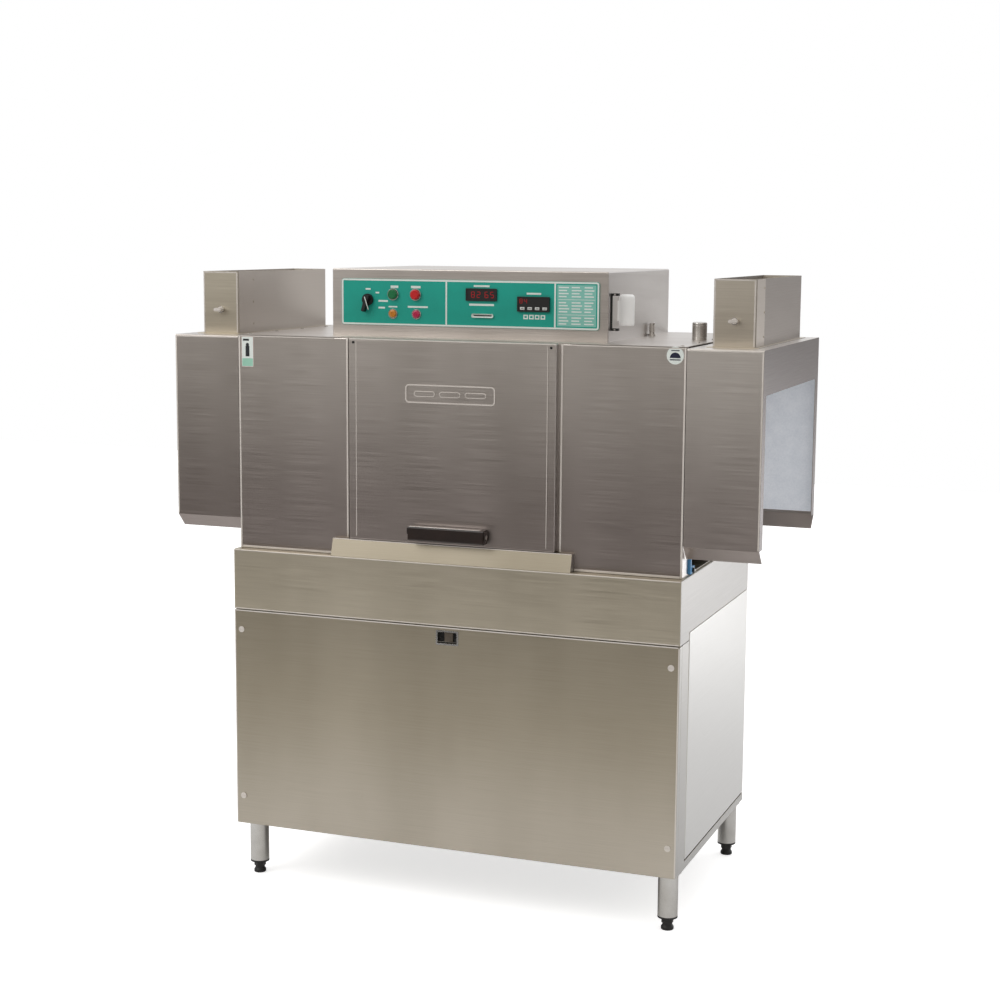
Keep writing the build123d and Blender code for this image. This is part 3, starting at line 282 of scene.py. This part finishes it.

# ------------------------------------------------------------------ finishes of the CAD nodes
# copies of one brushed stainless, each with painted light and shade set for where it stands: its
# tone, its painted height shade and its painted end-face shade; the entry hood is a shaded copy,
# the exit hood, exit cowl and side panels lit copies
hood_steel = brushed_sheet("brushed_stainless_hood", "dcd5d0", "c3bcb6", 0.34,
                           (0.95, 1.42, "cbc5c4", "fffffd"), "dad6d3")
entry_hood_painted_shade_steel = brushed_sheet("brushed_stainless_entry_hood_painted_shade", "cfc8c3", "b7b0aa", 0.34,
                            (0.95, 1.42, "cbc5c4", "fffffd"), "8d8786")
exit_hood_painted_light_steel = brushed_sheet("brushed_stainless_exit_hood_painted_light", "eee8e3", "d6d0ca", 0.34,
                           (0.95, 1.42, "cbc5c4", "fffffd"), "767070")
cowl_steel = brushed_sheet("brushed_stainless_cowl", "ddd6c7", "c6bfaf", 0.37,
                           (1.43, 1.60, "f4f1ec", "fffefb"), "c2bab2")
exit_cowl_painted_light_steel = brushed_sheet("brushed_stainless_exit_cowl_painted_light", "e2dbcf", "cbc4b7", 0.37,
                                (1.43, 1.60, "f4f1ec", "fffefb"), "9d9691")
rim_steel = brushed_sheet("brushed_stainless_tank_rim", "ddd6c7", "c6bfaf", 0.37,
                          (0.70, 1.60, "efece6", "fcfaf6"), "b2b0ae")
side_panel_painted_light_steel = brushed_sheet("brushed_stainless_side_painted_light", "e6e2dc", "d0ccc5", 0.34,
                           (0.20, 0.70, "eef0f2", "ffffff"), "d9d8d6")
base_steel = brushed_sheet("brushed_stainless_cabinet", "cac3b6", "b4ad9f", 0.37,
                           (0.12, 0.55, "fffefe", "e0dcd3"), "c2c0bd")
pipe_steel = moulded("polished_stainless_tube", "d4d2ce", "bcb9b4", 0.2, metallic=1.0,
                     relief=0.05)
# pale satin steel for dampers, studs and small parts, also used as painted highlight on folded
# edges and creases
pale_steel_and_edge_highlight = moulded("pale_stainless_and_painted_edge_highlight", "e3ddd6", "d0c9c1", 0.5, grain=0.5, relief=0.1,
                     metallic=0.35)
trim_steel = moulded("bright_stainless_fitting", "e8e6e2", "d6d3ce", 0.22, metallic=0.9,
                     relief=0.05)
black_nylon = moulded("black_glass_filled_nylon", "1d1c1b", "0f0f0e", 0.5)
dark_grip = moulded("dark_phenolic_grip", "2a1c16", "170f0b", 0.33, coat=0.3)
green_overlay = moulded("green_polyester_overlay", "06a895", "059c8a", 0.45, relief=0.1)
green_cap = moulded("green_acetal_cap", "0f7a45", "0a5f36", 0.25, coat=0.4)
red_cap = moulded("red_acetal_cap", "d81f22", "b5171a", 0.25, coat=0.4)
amber_lens = moulded("amber_polycarbonate_lens", "e0952f", "c47c20", 0.2, coat=0.5)
red_lens = moulded("red_polycarbonate_lens", "cf2458", "a91a45", 0.2, coat=0.5)
white_abs = moulded("white_abs", "fdfdfb", "f3f3f0", 0.35)
# painted light: the white plastic glows a little so it reads brighter than the lamps make it
lit(white_abs, "ffffff", 0.16)
blue_nylon = moulded("blue_nylon", "5fa3d6", "4a8cc0", 0.4)
curtain_pvc = moulded("clear_grey_pvc_strip", "c9d0d2", "b5bdbf", 0.3)
cast_metal = moulded("cast_aluminium", "a9a9a8", "8e8e8d", 0.5, grain=2.0, relief=0.5,
                     metallic=1.0)
motor_enamel = moulded("blue_grey_motor_enamel", "4c5a68", "3f4c59", 0.4)

finishes = {"brushed_stainless": hood_steel, "mill_stainless": base_steel,
            "polished_stainless": pipe_steel, "black_plastic": black_nylon,
            "dark_handle": dark_grip, "fascia_green": green_overlay,
            "green_button": green_cap, "red_button": red_cap, "amber_lens": amber_lens,
            "red_lens": red_lens, "white_plastic": white_abs, "blue_plastic": blue_nylon,
            "curtain_pvc": curtain_pvc, "cast_metal": cast_metal,
            "motor_paint": motor_enamel}
# these nodes look different from the rest of their slot: the end hoods, cowls, tank rim and side
# panels partly by painted light and shade, the rest by their own finish
own_finishes = {"legs": pipe_steel, "roof_fittings": trim_steel, "wash_tank": rim_steel,
                "left_vent_cowl": cowl_steel, "right_vent_cowl": exit_cowl_painted_light_steel,
                "entry_hood": entry_hood_painted_shade_steel, "exit_hood": exit_hood_painted_light_steel,
                "left_damper": pale_steel_and_edge_highlight, "right_damper": pale_steel_and_edge_highlight,
                "left_side_panel": side_panel_painted_light_steel, "right_side_panel": side_panel_painted_light_steel,
                "front_access_panel": base_steel, "door_sill": base_steel,
                "base_back_panel": base_steel}
for part in frame["record"]["subparts"]:
    look = own_finishes.get(part["node"], finishes[part["material_slot"]])
    mesh = nodes[part["node"]].data
    mesh.materials.clear()
    mesh.materials.append(look)

# ------------------------------------------------------------------ modelling helpers
TURN = {"X": (0, math.radians(90), 0), "Y": (math.radians(90), 0, 0), "Z": (0, 0, 0)}


def edit(piece, pick=None):
    """Opens a piece for editing, with the vertices that pass the test selected, or all."""
    take(piece)
    for vert in piece.data.vertices:
        vert.select = pick is None or pick(vert.co)
    for line in piece.data.edges:
        line.select = all(piece.data.vertices[i].select for i in line.vertices)
    for face in piece.data.polygons:
        face.select = all(piece.data.vertices[i].select for i in face.vertices)
    bpy.ops.object.mode_set(mode="EDIT")


def close():
    """Turns every face outwards and leaves edit mode."""
    bpy.ops.mesh.select_all(action="SELECT")
    bpy.ops.mesh.normals_make_consistent(inside=False)
    bpy.ops.object.mode_set(mode="OBJECT")


def block(low, high, soft=0.0, segments=2):
    """A block between two corners in millimetres, its edges softened."""
    deselect()
    low, high = [v * mm for v in low], [v * mm for v in high]
    bpy.ops.mesh.primitive_cube_add(size=1, location=[(a + b) / 2 for a, b in zip(low, high)])
    piece = bpy.context.object
    piece.scale = [b - a for a, b in zip(low, high)]
    bpy.ops.object.transform_apply(location=True, rotation=True, scale=True)
    if soft:
        edit(piece)
        bpy.ops.mesh.bevel(offset=soft * mm, segments=segments, affect="EDGES")
        close()
    return piece


def disc(centre, axis, radius, thick, soft=0.0, vertices=32, segments=3):
    """A round slice in millimetres about its centre, its rims softened."""
    deselect()
    bpy.ops.mesh.primitive_cylinder_add(radius=radius * mm, depth=thick * mm,
                                        vertices=vertices, rotation=TURN[axis],
                                        location=[v * mm for v in centre])
    piece = bpy.context.object
    bpy.ops.object.transform_apply(location=True, rotation=True, scale=True)
    if soft:
        edit(piece)
        bpy.ops.mesh.select_all(action="DESELECT")
        bpy.ops.mesh.select_face_by_sides(number=vertices, type="EQUAL")
        bpy.ops.mesh.region_to_loop()
        bpy.ops.mesh.bevel(offset=soft * mm, segments=segments, affect="EDGES")
        close()
    return piece


def ring(centre, axis, radius, thick):
    """A round wire ring in millimetres."""
    deselect()
    bpy.ops.mesh.primitive_torus_add(major_radius=radius * mm, minor_radius=thick / 2 * mm,
                                     major_segments=40, minor_segments=10,
                                     rotation=TURN[axis], location=[v * mm for v in centre])
    bpy.ops.object.transform_apply(location=True, rotation=True, scale=True)
    return bpy.context.object


def modify(piece, kind, **settings):
    """Adds a modifier with its settings and applies it."""
    take(piece)
    made = piece.modifiers.new(kind.lower(), kind)
    for name, value in settings.items():
        setattr(made, name, value)
    bpy.ops.object.modifier_apply(modifier=made.name)


def cut(piece, tool):
    """Takes the tool's shape out of the piece."""
    modify(piece, "BOOLEAN", operation="DIFFERENCE", solver="EXACT", object=tool)
    bpy.data.objects.remove(tool)


def outline(x0, x1, z0, z1, line, corner, y, thick):
    """A flat rounded frame on a wall that faces the operator, in millimetres."""
    deselect()
    bpy.ops.mesh.primitive_plane_add(size=1, rotation=TURN["Y"],
                                     location=((x0 + x1) / 2 * mm, y * mm, (z0 + z1) / 2 * mm))
    piece = bpy.context.object
    piece.scale = ((x1 - x0) * mm, (z1 - z0) * mm, 1)
    bpy.ops.object.transform_apply(location=True, rotation=True, scale=True)
    edit(piece)
    bpy.ops.mesh.bevel(offset=corner * mm, segments=5, affect="VERTICES")
    bpy.ops.mesh.select_all(action="SELECT")
    bpy.ops.mesh.inset(thickness=line * mm)
    bpy.ops.mesh.delete(type="FACE")
    bpy.ops.object.mode_set(mode="OBJECT")
    modify(piece, "SOLIDIFY", thickness=thick * mm, offset=1.0)
    return piece


def again(piece, x=0.0, y=0.0, z=0.0):
    """A copy with its own mesh, moved by millimetres."""
    take(piece)
    bpy.ops.object.duplicate(linked=False)
    made = bpy.context.object
    bpy.ops.transform.translate(value=(x * mm, y * mm, z * mm))
    bpy.ops.object.transform_apply(location=True, rotation=False, scale=False)
    return made


def join(parts):
    """Several pieces as one."""
    take(parts[0])
    for part in parts[1:]:
        part.select_set(True)
    bpy.ops.object.join()
    return bpy.context.object


def done(piece, name, look, body, replaces=(), smooth=35):
    """Names a finished piece, gives it its material and lets it move with its body."""
    take(piece)
    piece.name = piece.data.name = name
    piece.data.materials.clear()
    piece.data.materials.append(look)
    bpy.ops.object.shade_smooth_by_angle(angle=math.radians(smooth))
    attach(piece, body)
    for node in replaces:
        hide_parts(node)
    return piece


# ------------------------------------------------------------------ finishes of the added pieces
bright_steel = moulded("bright_stainless_trim", "e6e4e0", "d2cfca", 0.16, metallic=1.0,
                       relief=0.05)
print_white = moulded("white_screen_print", "eef3ee", "dfe8e2", 0.5, grain=0.3, relief=0.05)
print_pale = moulded("pale_teal_screen_print", "8fcfc2", "7fc2b4", 0.5, grain=0.3, relief=0.05)
print_dark = moulded("dark_screen_print", "2b2f33", "1d2023", 0.5, grain=0.3, relief=0.05)
print_mint = moulded("mint_screen_print", "a9d9c4", "97cbb4", 0.5, grain=0.3, relief=0.05)
print_navy = moulded("navy_screen_print", "1c2340", "141a30", 0.45, grain=0.3, relief=0.05)
led_red = moulded("red_led_segment", "7c1216", "5e0d11", 0.3)
lit(led_red, "c01a20", 0.25)
key_white = moulded("grey_white_silicone_key", "d9dad7", "c6c8c5", 0.45)
film = moulded("bluish_protective_film", "dfe1e5", "c7cbd2", 0.45, grain=4.0, relief=0.35)
# painted light: the film glows a little for the bright light it catches inside the hood
lit(film, "c6cad2", 0.36)
rubber = moulded("black_rubber", "191919", "101010", 0.65)

# ------------------------------------------------------------------ control panel
panel_face = -222.5
print_thick = 0.25


def printed(boxes, thick=print_thick, y=panel_face):
    """Printed bars in millimetres, each given as left, right, low and high."""
    return join([block((x0, y - thick, z0), (x1, y + 0.05, z1)) for x0, x1, z0, z1 in boxes])


done(outline(-342.4, 347.4, 1468.6, 1584.4, 4.2, 6.5, panel_face, print_thick),
     "panel_border", print_white, "cabinet")
done(printed([(x, x + 4.2, 1472.9, 1580.1) for x in (-56, 232.2)]), "panel_dividers",
     print_white, "cabinet")

labels = [(-206, -185, 1562.5, 1568.5), (-150, -124, 1562.5, 1568.5),
          (-276, -262, 1557, 1561), (-248, -238, 1548, 1552), (-240, -214, 1527, 1531.5),
          (-240, -222, 1510, 1514.5), (-159, -104, 1513.5, 1518), (-212, -188, 1513.5, 1517),
          (20, 62, 1568.5, 1573), (8, 74, 1522, 1527), (160, 198, 1552, 1556.5)]
done(printed(labels), "panel_label_bars", print_white, "cabinet")

pill = block((15, panel_face - 0.3, 1492.6), (73, panel_face, 1502.4))
edit(pill, lambda co: False)
bpy.ops.object.mode_set(mode="OBJECT")
for side in pill.data.edges:
    a, b = (pill.data.vertices[i].co for i in side.vertices)
    side.select = abs(a.y - b.y) > 0.1 * mm
bpy.ops.object.mode_set(mode="EDIT")
bpy.ops.mesh.bevel(offset=4.4 * mm, segments=6, affect="EDGES")
close()
done(pill, "panel_white_pill", print_white, "cabinet")
done(printed([(20, 68, 1496, 1499.2)], 0.45), "panel_pill_bar", print_dark, "cabinet")
squares = [(152 + 15 * i, 164 + 15 * i, 1491.5, 1502.5) for i in range(4)]
done(printed(squares), "panel_square_marks", print_white, "cabinet")
done(printed([(155 + 15 * i, 161 + 15 * i, 1494.5, 1499.5) for i in range(4)], 0.4),
     "panel_square_middles", green_overlay, "cabinet")

# the notice block on the right: a pale ground with three columns of short lines
done(printed([(240, 340, 1476, 1577)], 0.15), "notice_ground", print_pale, "cabinet")
rows = []
for row in range(13):
    z = 1571 - 7.4 * row
    if row in (4, 9):
        rows.append((243, 337, z - 0.6, z + 0.6))
        continue
    for column, long in ((244, 27), (277, 28), (310, 25)):
        rows.append((column, column + long - (row * 5 + column) % 9, z - 1.5, z + 1.5))
done(printed(rows, 0.35), "notice_lines", print_white, "cabinet")

# displays: seven-segment figures, then the keys of the controller
FIGURES = {"2": "abged", "4": "fgbc", "6": "afgedc", "8": "abcdefg", "5": "afgcd", "0": "abcdef"}


def figures(text, x, z, wide, high, y):
    """Lit figures, x and z being their low left corner and y the window's face."""
    bar = wide * 0.2
    half = high / 2
    strokes = {"a": (bar, wide - bar, high - bar, high), "g": (bar, wide - bar,
               half - bar / 2, half + bar / 2), "d": (bar, wide - bar, 0, bar),
               "f": (0, bar, half, high - bar / 2), "b": (wide - bar, wide, half,
               high - bar / 2), "e": (0, bar, bar / 2, half), "c": (wide - bar, wide,
               bar / 2, half)}
    boxes = []
    for place, figure in enumerate(text):
        left = x + place * wide * 1.5
        boxes += [(left + x0, left + x1, z + z0, z + z1)
                  for x0, x1, z0, z1 in (strokes[s] for s in FIGURES[figure])]
    return printed(boxes, 0.3, y)


done(figures("82", 14, 1541.5, 10, 16, -225.5), "thermometer_figures", led_red, "cabinet")
done(figures("65", 50, 1541.5, 10, 16, -225.5), "thermometer_figures_right", led_red,
     "cabinet")
done(figures("84", 143, 1530, 8, 12, -227.5), "controller_figures", led_red, "cabinet")
key = block((145, -229.3, 1514.5), (157, -227.5, 1521.5), 0.8)
keys = [key] + [again(key, x=19.5 * i) for i in (1, 2, 3)]
done(join(keys), "controller_keys", key_white, "cabinet")
done(printed([(148 + 19.5 * i, 154 + 19.5 * i, 1517.4, 1518.6) for i in range(4)], 0.2, -229.3),
     "controller_key_marks", print_dark, "cabinet")

# selector: a raised white pointer line along the beak
knob_x, knob_z, knob_lean = -269, 1532, 18
pointer = block((knob_x - 1, -240.1, 1506), (knob_x + 1, -239.3, 1540), 0.3)
take(pointer)
bpy.ops.transform.rotate(value=math.radians(knob_lean), orient_axis="Y",
                         center_override=(knob_x * mm, -240 * mm, knob_z * mm))
bpy.ops.object.transform_apply(location=True, rotation=True, scale=True)
done(pointer, "selector_pointer", print_white, "selector")
done(ring((knob_x, -227.6, knob_z), "Y", 14.4, 1.4), "selector_grip_ring", black_nylon,
     "selector")

# push buttons and lamps
button_row, lamp_row = 1546.6, 1497.6
for name, look, slot, x in (("start_button", green_cap, "green_button", -198.6),
                            ("stop_button", red_cap, "red_button", -136.8)):
    done(disc((x, -232.1, button_row), "Y", 9.8, 1.6, 0.7), name + "_cap", look, name)
    done(ring((x, -226.4, button_row), "Y", 14.2, 1.5), name + "_chrome_ring", bright_steel,
         "cabinet")
for name, look, slot, x in (("amber_lamp", amber_lens, "amber_lens", -199.6),
                            ("red_lamp", red_lens, "red_lens", -134.9)):
    rings = [ring((x, -228.5, lamp_row), "Y", r, 1.1) for r in (2.2, 4.4)]
    done(join(rings), name + "_ribs", look, "cabinet")
    done(ring((x, -224.4, lamp_row), "Y", 11.8, 1.3), name + "_chrome_ring", bright_steel,
         "cabinet")

# ------------------------------------------------------------------ door, handle and badge
done(block((-98, -357.5, 977), (92, -334, 978.4), 0.5), "handle_top_strip", bright_steel,
     "door")
done(block((-104.5, -356, 958), (-100.5, -333, 974), 1.2), "handle_left_cap", dark_grip,
     "door")
done(block((100.5, -356, 946), (104, -333, 974), 1.2), "handle_right_cap", dark_grip,
     "door")
done(disc((104.4, -345, 960), "X", 5.5, 1.6, 0.6), "handle_screw", bright_steel, "door")
rims = [outline(-119.3, 119.3, 1283.2, 1329.8, 3.4, 9.8, -329.7, 0.3)]
rims += [outline(x - 28, x + 28, 1299.5, 1313.5, 1.8, 6.9, -329.7, 0.3)
         for x in (-68, 0, 68)]
done(join(rims), "badge_rims", pale_steel_and_edge_highlight, "door")

# painted highlights on the folded edges of the hood's sheets: pale strips stand in for the light
# their bends catch
hood_face, edge_wide, edge_proud = -313.5, 4.6, 0.7


def edge_strips(name, boxes, body):
    """Painted highlight strips on the hood's front edges, each as left, right, low and high."""
    strips = [block((x0, hood_face - edge_proud, z0), (x1, hood_face + 0.1, z1), 0.5)
              for x0, x1, z0, z1 in boxes]
    done(join(strips), name, pale_steel_and_edge_highlight, body)


for side, sign in (("left", -1), ("right", 1)):
    uprights = [tuple(sorted((sign * 283.2, sign * (283.2 + edge_wide)))) + (931.5, 1437.5),
                tuple(sorted((sign * 593.2, sign * (593.2 - edge_wide)))) + (887, 1437.5)]
    level = tuple(sorted((sign * 322.0, sign * 588.0)))
    edge_strips(side + "_panel_edges", uprights + [level + (886.8, 892.6),
                                                   level + (1434.5, 1437.5)], "cabinet")
    x0, x1 = sorted((sign * 594.9, sign * 778.0))
    outer = tuple(sorted((sign * 778.0, sign * (778.0 - edge_wide + 1))))
    edge_strips(side + "_end_hood_edges", [outer + (966, 1431), (x0, x1, 1430, 1432.6)],
                "cabinet")

# painted highlights: the pale lines on the door's creases, the sill's nose and the edges of the
# access panel and tank rim stand in for the light their bends catch
creases = [block((s * 254 - 0.9, -328.9, 940), (s * 254 + 0.9, -328.4, 1433), 0.2, 1)
           for s in (-1, 1)]
creases.append(block((-274, -328.1, 1435.6), (274, -327.3, 1438), 0.3, 1))
done(join(creases), "door_creases", pale_steel_and_edge_highlight, "door")
nose = block((-320, -328.3, 928.2), (320, -326, 930.4), 0.5)
done(nose, "sill_nose", pale_steel_and_edge_highlight, "cabinet")
frame_lines = [block((-596, -342.1, 722.6), (596, -341.4, 725.6), 0.3, 1)]
frame_lines += [block((x0, -342.1, 153), (x0 + 3, -341.4, 722), 0.3, 1)
                for x0 in (-599, 596)]
done(join(frame_lines), "access_panel_edges", pale_steel_and_edge_highlight, "front_panel")
rim_lines = [block((-597, -342.1, z), (597, -341.4, z + 2.4), 0.3, 1) for z in (729, 882.4)]
done(join(rim_lines), "tank_rim_edges", pale_steel_and_edge_highlight, "cabinet")

buffers = [disc((s * 262, -327.9, 1429), "Y", 3.2, 1.4, 0.4) for s in (-1, 1)]
done(join(buffers), "door_buffers", rubber, "door")

# ------------------------------------------------------------------ front panel's pull and studs
# painted shade: a black sheet at the back of the pull's recess stands in for the shade inside it
recess = block((-25.5, -326.3, 685.2), (25.5, -325.7, 712.8))
done(recess, "pull_recess_painted_shade", rubber, "front_panel")
# painted shade: the tongue's dull brown is the shade deep in the recess, not a finish of its own
tongue_painted_shade_steel = moulded("stainless_tongue_painted_shade", "6e655a", "564e45", 0.4, metallic=0.5)
tongue = block((-12, -332, 686), (12, -326, 711), 2.0)
done(tongue, "pull_tongue", tongue_painted_shade_steel, "front_panel")
bars = [block((s * 18 - 4, -330, 689), (s * 18 + 4, -326, 695), 1.0) for s in (-1, 1)]
done(join(bars), "pull_latch_ends", black_nylon, "front_panel")

stud = disc((-579, -342.5, 226), "Y", 8, 2, 0.7, vertices=40)
cut(stud, block((-586, -345, 225.1), (-572, -342.6, 226.9)))
shank = disc((-579, -333.5, 226), "Y", 5.9, 16)
stud = join([stud, shank])
studs = [stud] + [again(stud, x=x, z=z) for x, z in ((0, 448), (1158, 0), (1158, 448))]
done(join(studs), "quarter_turn_studs", pale_steel_and_edge_highlight, "front_panel",
     replaces=["panel_studs"])

# ------------------------------------------------------------------ stickers
card = outline(-585, -550, 1357, 1435, 0.9, 3, -313.5, 0.25)
done(card, "left_sticker_edge", moulded("pink_grey_sticker_edge", "c9a9a4", "b89a95", 0.5),
     "cabinet")
done(printed([(-584, -551, 1358, 1434)], 0.2, -313.5), "left_sticker_card", print_white,
     "cabinet")
done(printed([(-580, -563, 1424, 1429)], 0.4, -313.5), "left_sticker_dash", print_dark,
     "cabinet")
mark = join([block((-573, -313.9, 1384), (-562, -313.4, 1411)),
             disc((-567.5, -313.65, 1414), "Y", 4.5, 0.5)])
done(mark, "left_sticker_mark", print_dark, "cabinet")
done(printed([(-583, -552, 1359, 1379)], 0.35, -313.5), "left_sticker_foot", print_mint,
     "cabinet")
done(disc((566, -313.65, 1419), "Y", 21, 0.3, vertices=64), "right_sticker_disc", print_white,
     "cabinet")
dome = disc((566, -313.85, 1413), "Y", 13, 0.3, vertices=64)
edit(dome)
bpy.ops.mesh.bisect(plane_co=(0, 0, 1413 * mm), plane_no=(0, 0, -1), clear_outer=True,
                    use_fill=True)
close()
base_line = join([block((553, -314.0, 1407.5), (579, -313.6, 1410)),
                  block((556, -314.0, 1429.5), (576, -313.6, 1431.5))])
done(join([dome, base_line]), "right_sticker_dome", print_navy, "cabinet")

# ------------------------------------------------------------------ strip curtains
STRIPS = 7
strip_wide, strip_step = 80.0, 70.0
strip_low, rod_height, rod_x, rack_middle = 913.0, 1345.0, 585.5, 11.5


def one_strip(x, lean):
    """A soft strip that hangs from a rod: a flat tongue under a rolled top."""
    deselect()
    first = rack_middle - strip_step * (STRIPS - 1) / 2
    high = rod_height - 5.0
    bpy.ops.mesh.primitive_plane_add(size=1, rotation=TURN["X"],
                                     location=(x * mm, first * mm,
                                               (strip_low + high) / 2 * mm))
    tongue = bpy.context.object
    tongue.scale = ((high - strip_low) * mm, strip_wide * mm, 1)
    bpy.ops.object.transform_apply(location=True, rotation=True, scale=True)
    edit(tongue)
    bpy.ops.mesh.subdivide(number_cuts=9)
    bpy.ops.object.mode_set(mode="OBJECT")
    edit(tongue, lambda co: co.z < (strip_low + 1) * mm)
    bpy.ops.transform.translate(value=(lean * mm, 0, 0), use_proportional_edit=True,
                                proportional_edit_falloff="SMOOTH", proportional_size=0.3)
    bpy.ops.object.mode_set(mode="OBJECT")
    modify(tongue, "SOLIDIFY", thickness=2 * mm, offset=0.0)
    deselect()
    bpy.ops.mesh.primitive_cylinder_add(radius=6.1 * mm, depth=(strip_step - 2) * mm,
                                        vertices=24, end_fill_type="NOTHING",
                                        rotation=TURN["Y"],
                                        location=(x * mm, first * mm, rod_height * mm))
    roll = bpy.context.object
    bpy.ops.object.transform_apply(location=True, rotation=True, scale=True)
    modify(roll, "SOLIDIFY", thickness=1.7 * mm, offset=-1.0)
    return join([tongue, roll])


for end, side in (("entry", -1), ("exit", 1)):
    pair = [one_strip(side * rod_x - 1.3, -1.5), one_strip(side * rod_x + 1.3, 1.5)]
    strips = [again(pair[number % 2], y=strip_step * number) for number in range(STRIPS)]
    for model in pair:
        bpy.data.objects.remove(model)
    curtain = done(join(strips), end + "_strip_curtain", curtain_pvc, end + "_curtain",
                   replaces=[end + "_curtain"])

# ------------------------------------------------------------------ hoods, cowls and roof
for end, side in (("entry", -1), ("exit", 1)):
    x0, x1 = sorted((side * 602.0, side * 775.0))
    # the hoods' inner back walls in the bluish film, which glows with painted light
    lining = join([block((x0, 333.9, 972), (x1, 334.7, 1424), 0.2, 1),
                   block((x0, 333.9 - 0.3, 1196), (x1, 334.0, 1199), 0.1, 1)])
    done(lining, end + "_hood_film", film, "cabinet")
for side, x in (("left", -635.5), ("right", 738.5)):
    plate = block((x, -232, 1438.5), (x + 0.9, -146, 1597), 0.3, 1)
    rivets = [disc((x + 1.3, -152, z), "X", 2.4, 1.4, 0.5) for z in (1460, 1518, 1576)]
    done(join([plate] + rivets), side + "_cowl_joint_plate", cowl_steel, "cabinet")
for side, x in (("left", -687), ("right", 687)):
    done(disc((x, -236.2, 1499), "Y", 9, 1.6, 0.5), side + "_damper_washer", bright_steel,
         "cabinet")
    done(block((x - 9.5, -256.2, 1497.6), (x + 9.5, -255.2, 1500.4), 0.4),
         side + "_damper_pointer", pale_steel_and_edge_highlight, side + "_damper")
# painted highlights: pale strips on the cowls' folded front edges stand in for the light the bends
# catch
for side, x0, x1 in (("left", -738.5, -635.5), ("right", 635.5, 738.5)):
    uprights = [block((x, -236.1, 1439), (x + 3.4, -235.4, 1596), 0.3, 1)
                for x in (x0 + 1.5, x1 - 4.9)]
    top = block((x0 + 5, -236.1, 1594), (x1 - 5, -235.4, 1597), 0.3, 1)
    done(join(uprights + [top]), side + "_cowl_edges", pale_steel_and_edge_highlight, "cabinet")

screw = disc((-575, -285, 1440.9), "Z", 4.5, 2.2, 1.0)
cut(screw, block((-577.5, -285.5, 1441.2), (-572.5, -284.5, 1443)))
cut(screw, block((-575.6, -287.5, 1441.3), (-574.4, -282.5, 1443)))
heads = [again(screw, x=x, y=148.5 * i) for x in (0, 1150) for i in range(5)]
bpy.data.objects.remove(screw)
done(join(heads), "roof_screws", bright_steel, "cabinet")

cap_band = join([ring((545, -11.5, z), "Z", 18.3, 1.6) for z in (1446, 1476)])
done(cap_band, "roof_cap_bands", bright_steel, "cabinet")
spigot = join([ring((381.4, 128.5, 1452 + 3 * i), "Z", 7.1, 1.4) for i in range(6)])
done(spigot, "spigot_thread", pale_steel_and_edge_highlight, "cabinet")

# ------------------------------------------------------------------ rinse-aid pump and its bracket
bands = [ring((391.4, -134.5, z), "Z", 18.8, 1.5) for z in (1543, 1486)]
done(join(bands), "dosing_pump_bands", white_abs, "cabinet")
bolts = [disc((382, -189.3, z), "Y", 2.6, 2.4, 0.6) for z in (1470, 1555)]
bolts = join([disc((381, -201.3, z), "Y", 2.4, 1.6, 0.5) for z in (1470, 1555)] + bolts)
done(bolts, "dosing_bracket_screws", bright_steel, "cabinet")

# ------------------------------------------------------------------ rail ends under the hoods
rail_ys, rail_z = (-235, 258), 896
for end, side in (("entry", -1), ("exit", 1)):
    plugs = [disc((side * 601.5, y, rail_z), "X", 6.5, 4, 1.0) for y in rail_ys]
    done(join(plugs), end + "_rail_cap_plugs", black_nylon, "cabinet")
    pins = [disc((side * 604, y, rail_z), "X", 3.0, 2.4, 0.6) for y in rail_ys]
    done(join(pins), end + "_rail_cap_pins", bright_steel, "cabinet")

# ------------------------------------------------------------------ feet
for place, x, y in (("front_left", -566, -280.5), ("front_right", 566, -280.5),
                    ("rear_left", -566, 326.5), ("rear_right", 566, 326.5)):
    nut = disc((x, y, 22), "Z", 15.5, 9, 1.0, vertices=6, segments=2)
    done(nut, "hex_collar_" + place, black_nylon, "foot_" + place)

# ------------------------------------------------------------------ back of the machine
dome_head = disc((-560, 357.1, 190), "Y", 4.2, 1.6, 0.8)
heads = [again(dome_head, x=160 * i, z=z) for i in range(8) for z in (0, 540)]
bpy.data.objects.remove(dome_head)
done(join(heads), "back_panel_screws", bright_steel, "cabinet")
dome_head = disc((-580, 337.3, 900), "Y", 4.2, 1.8, 0.8)
heads = [again(dome_head, x=232 * i, z=z) for i in range(6) for z in (0, 520)]
bpy.data.objects.remove(dome_head)
done(join(heads), "chamber_back_screws", bright_steel, "cabinet")
louvre = block((-60, 323.4, 1560), (60, 328.4, 1566), 2.4, 3)
louvres = [louvre] + [again(louvre, z=-16 * i) for i in range(1, 6)]
done(join(louvres), "control_box_louvres", hood_steel, "cabinet")
gland = join([disc((250, 326, 1490), "Y", 16, 5, 1.0, vertices=6, segments=2),
              disc((250, 332, 1490), "Y", 12, 8, 1.5)])
done(gland, "cable_gland", black_nylon, "cabinet")
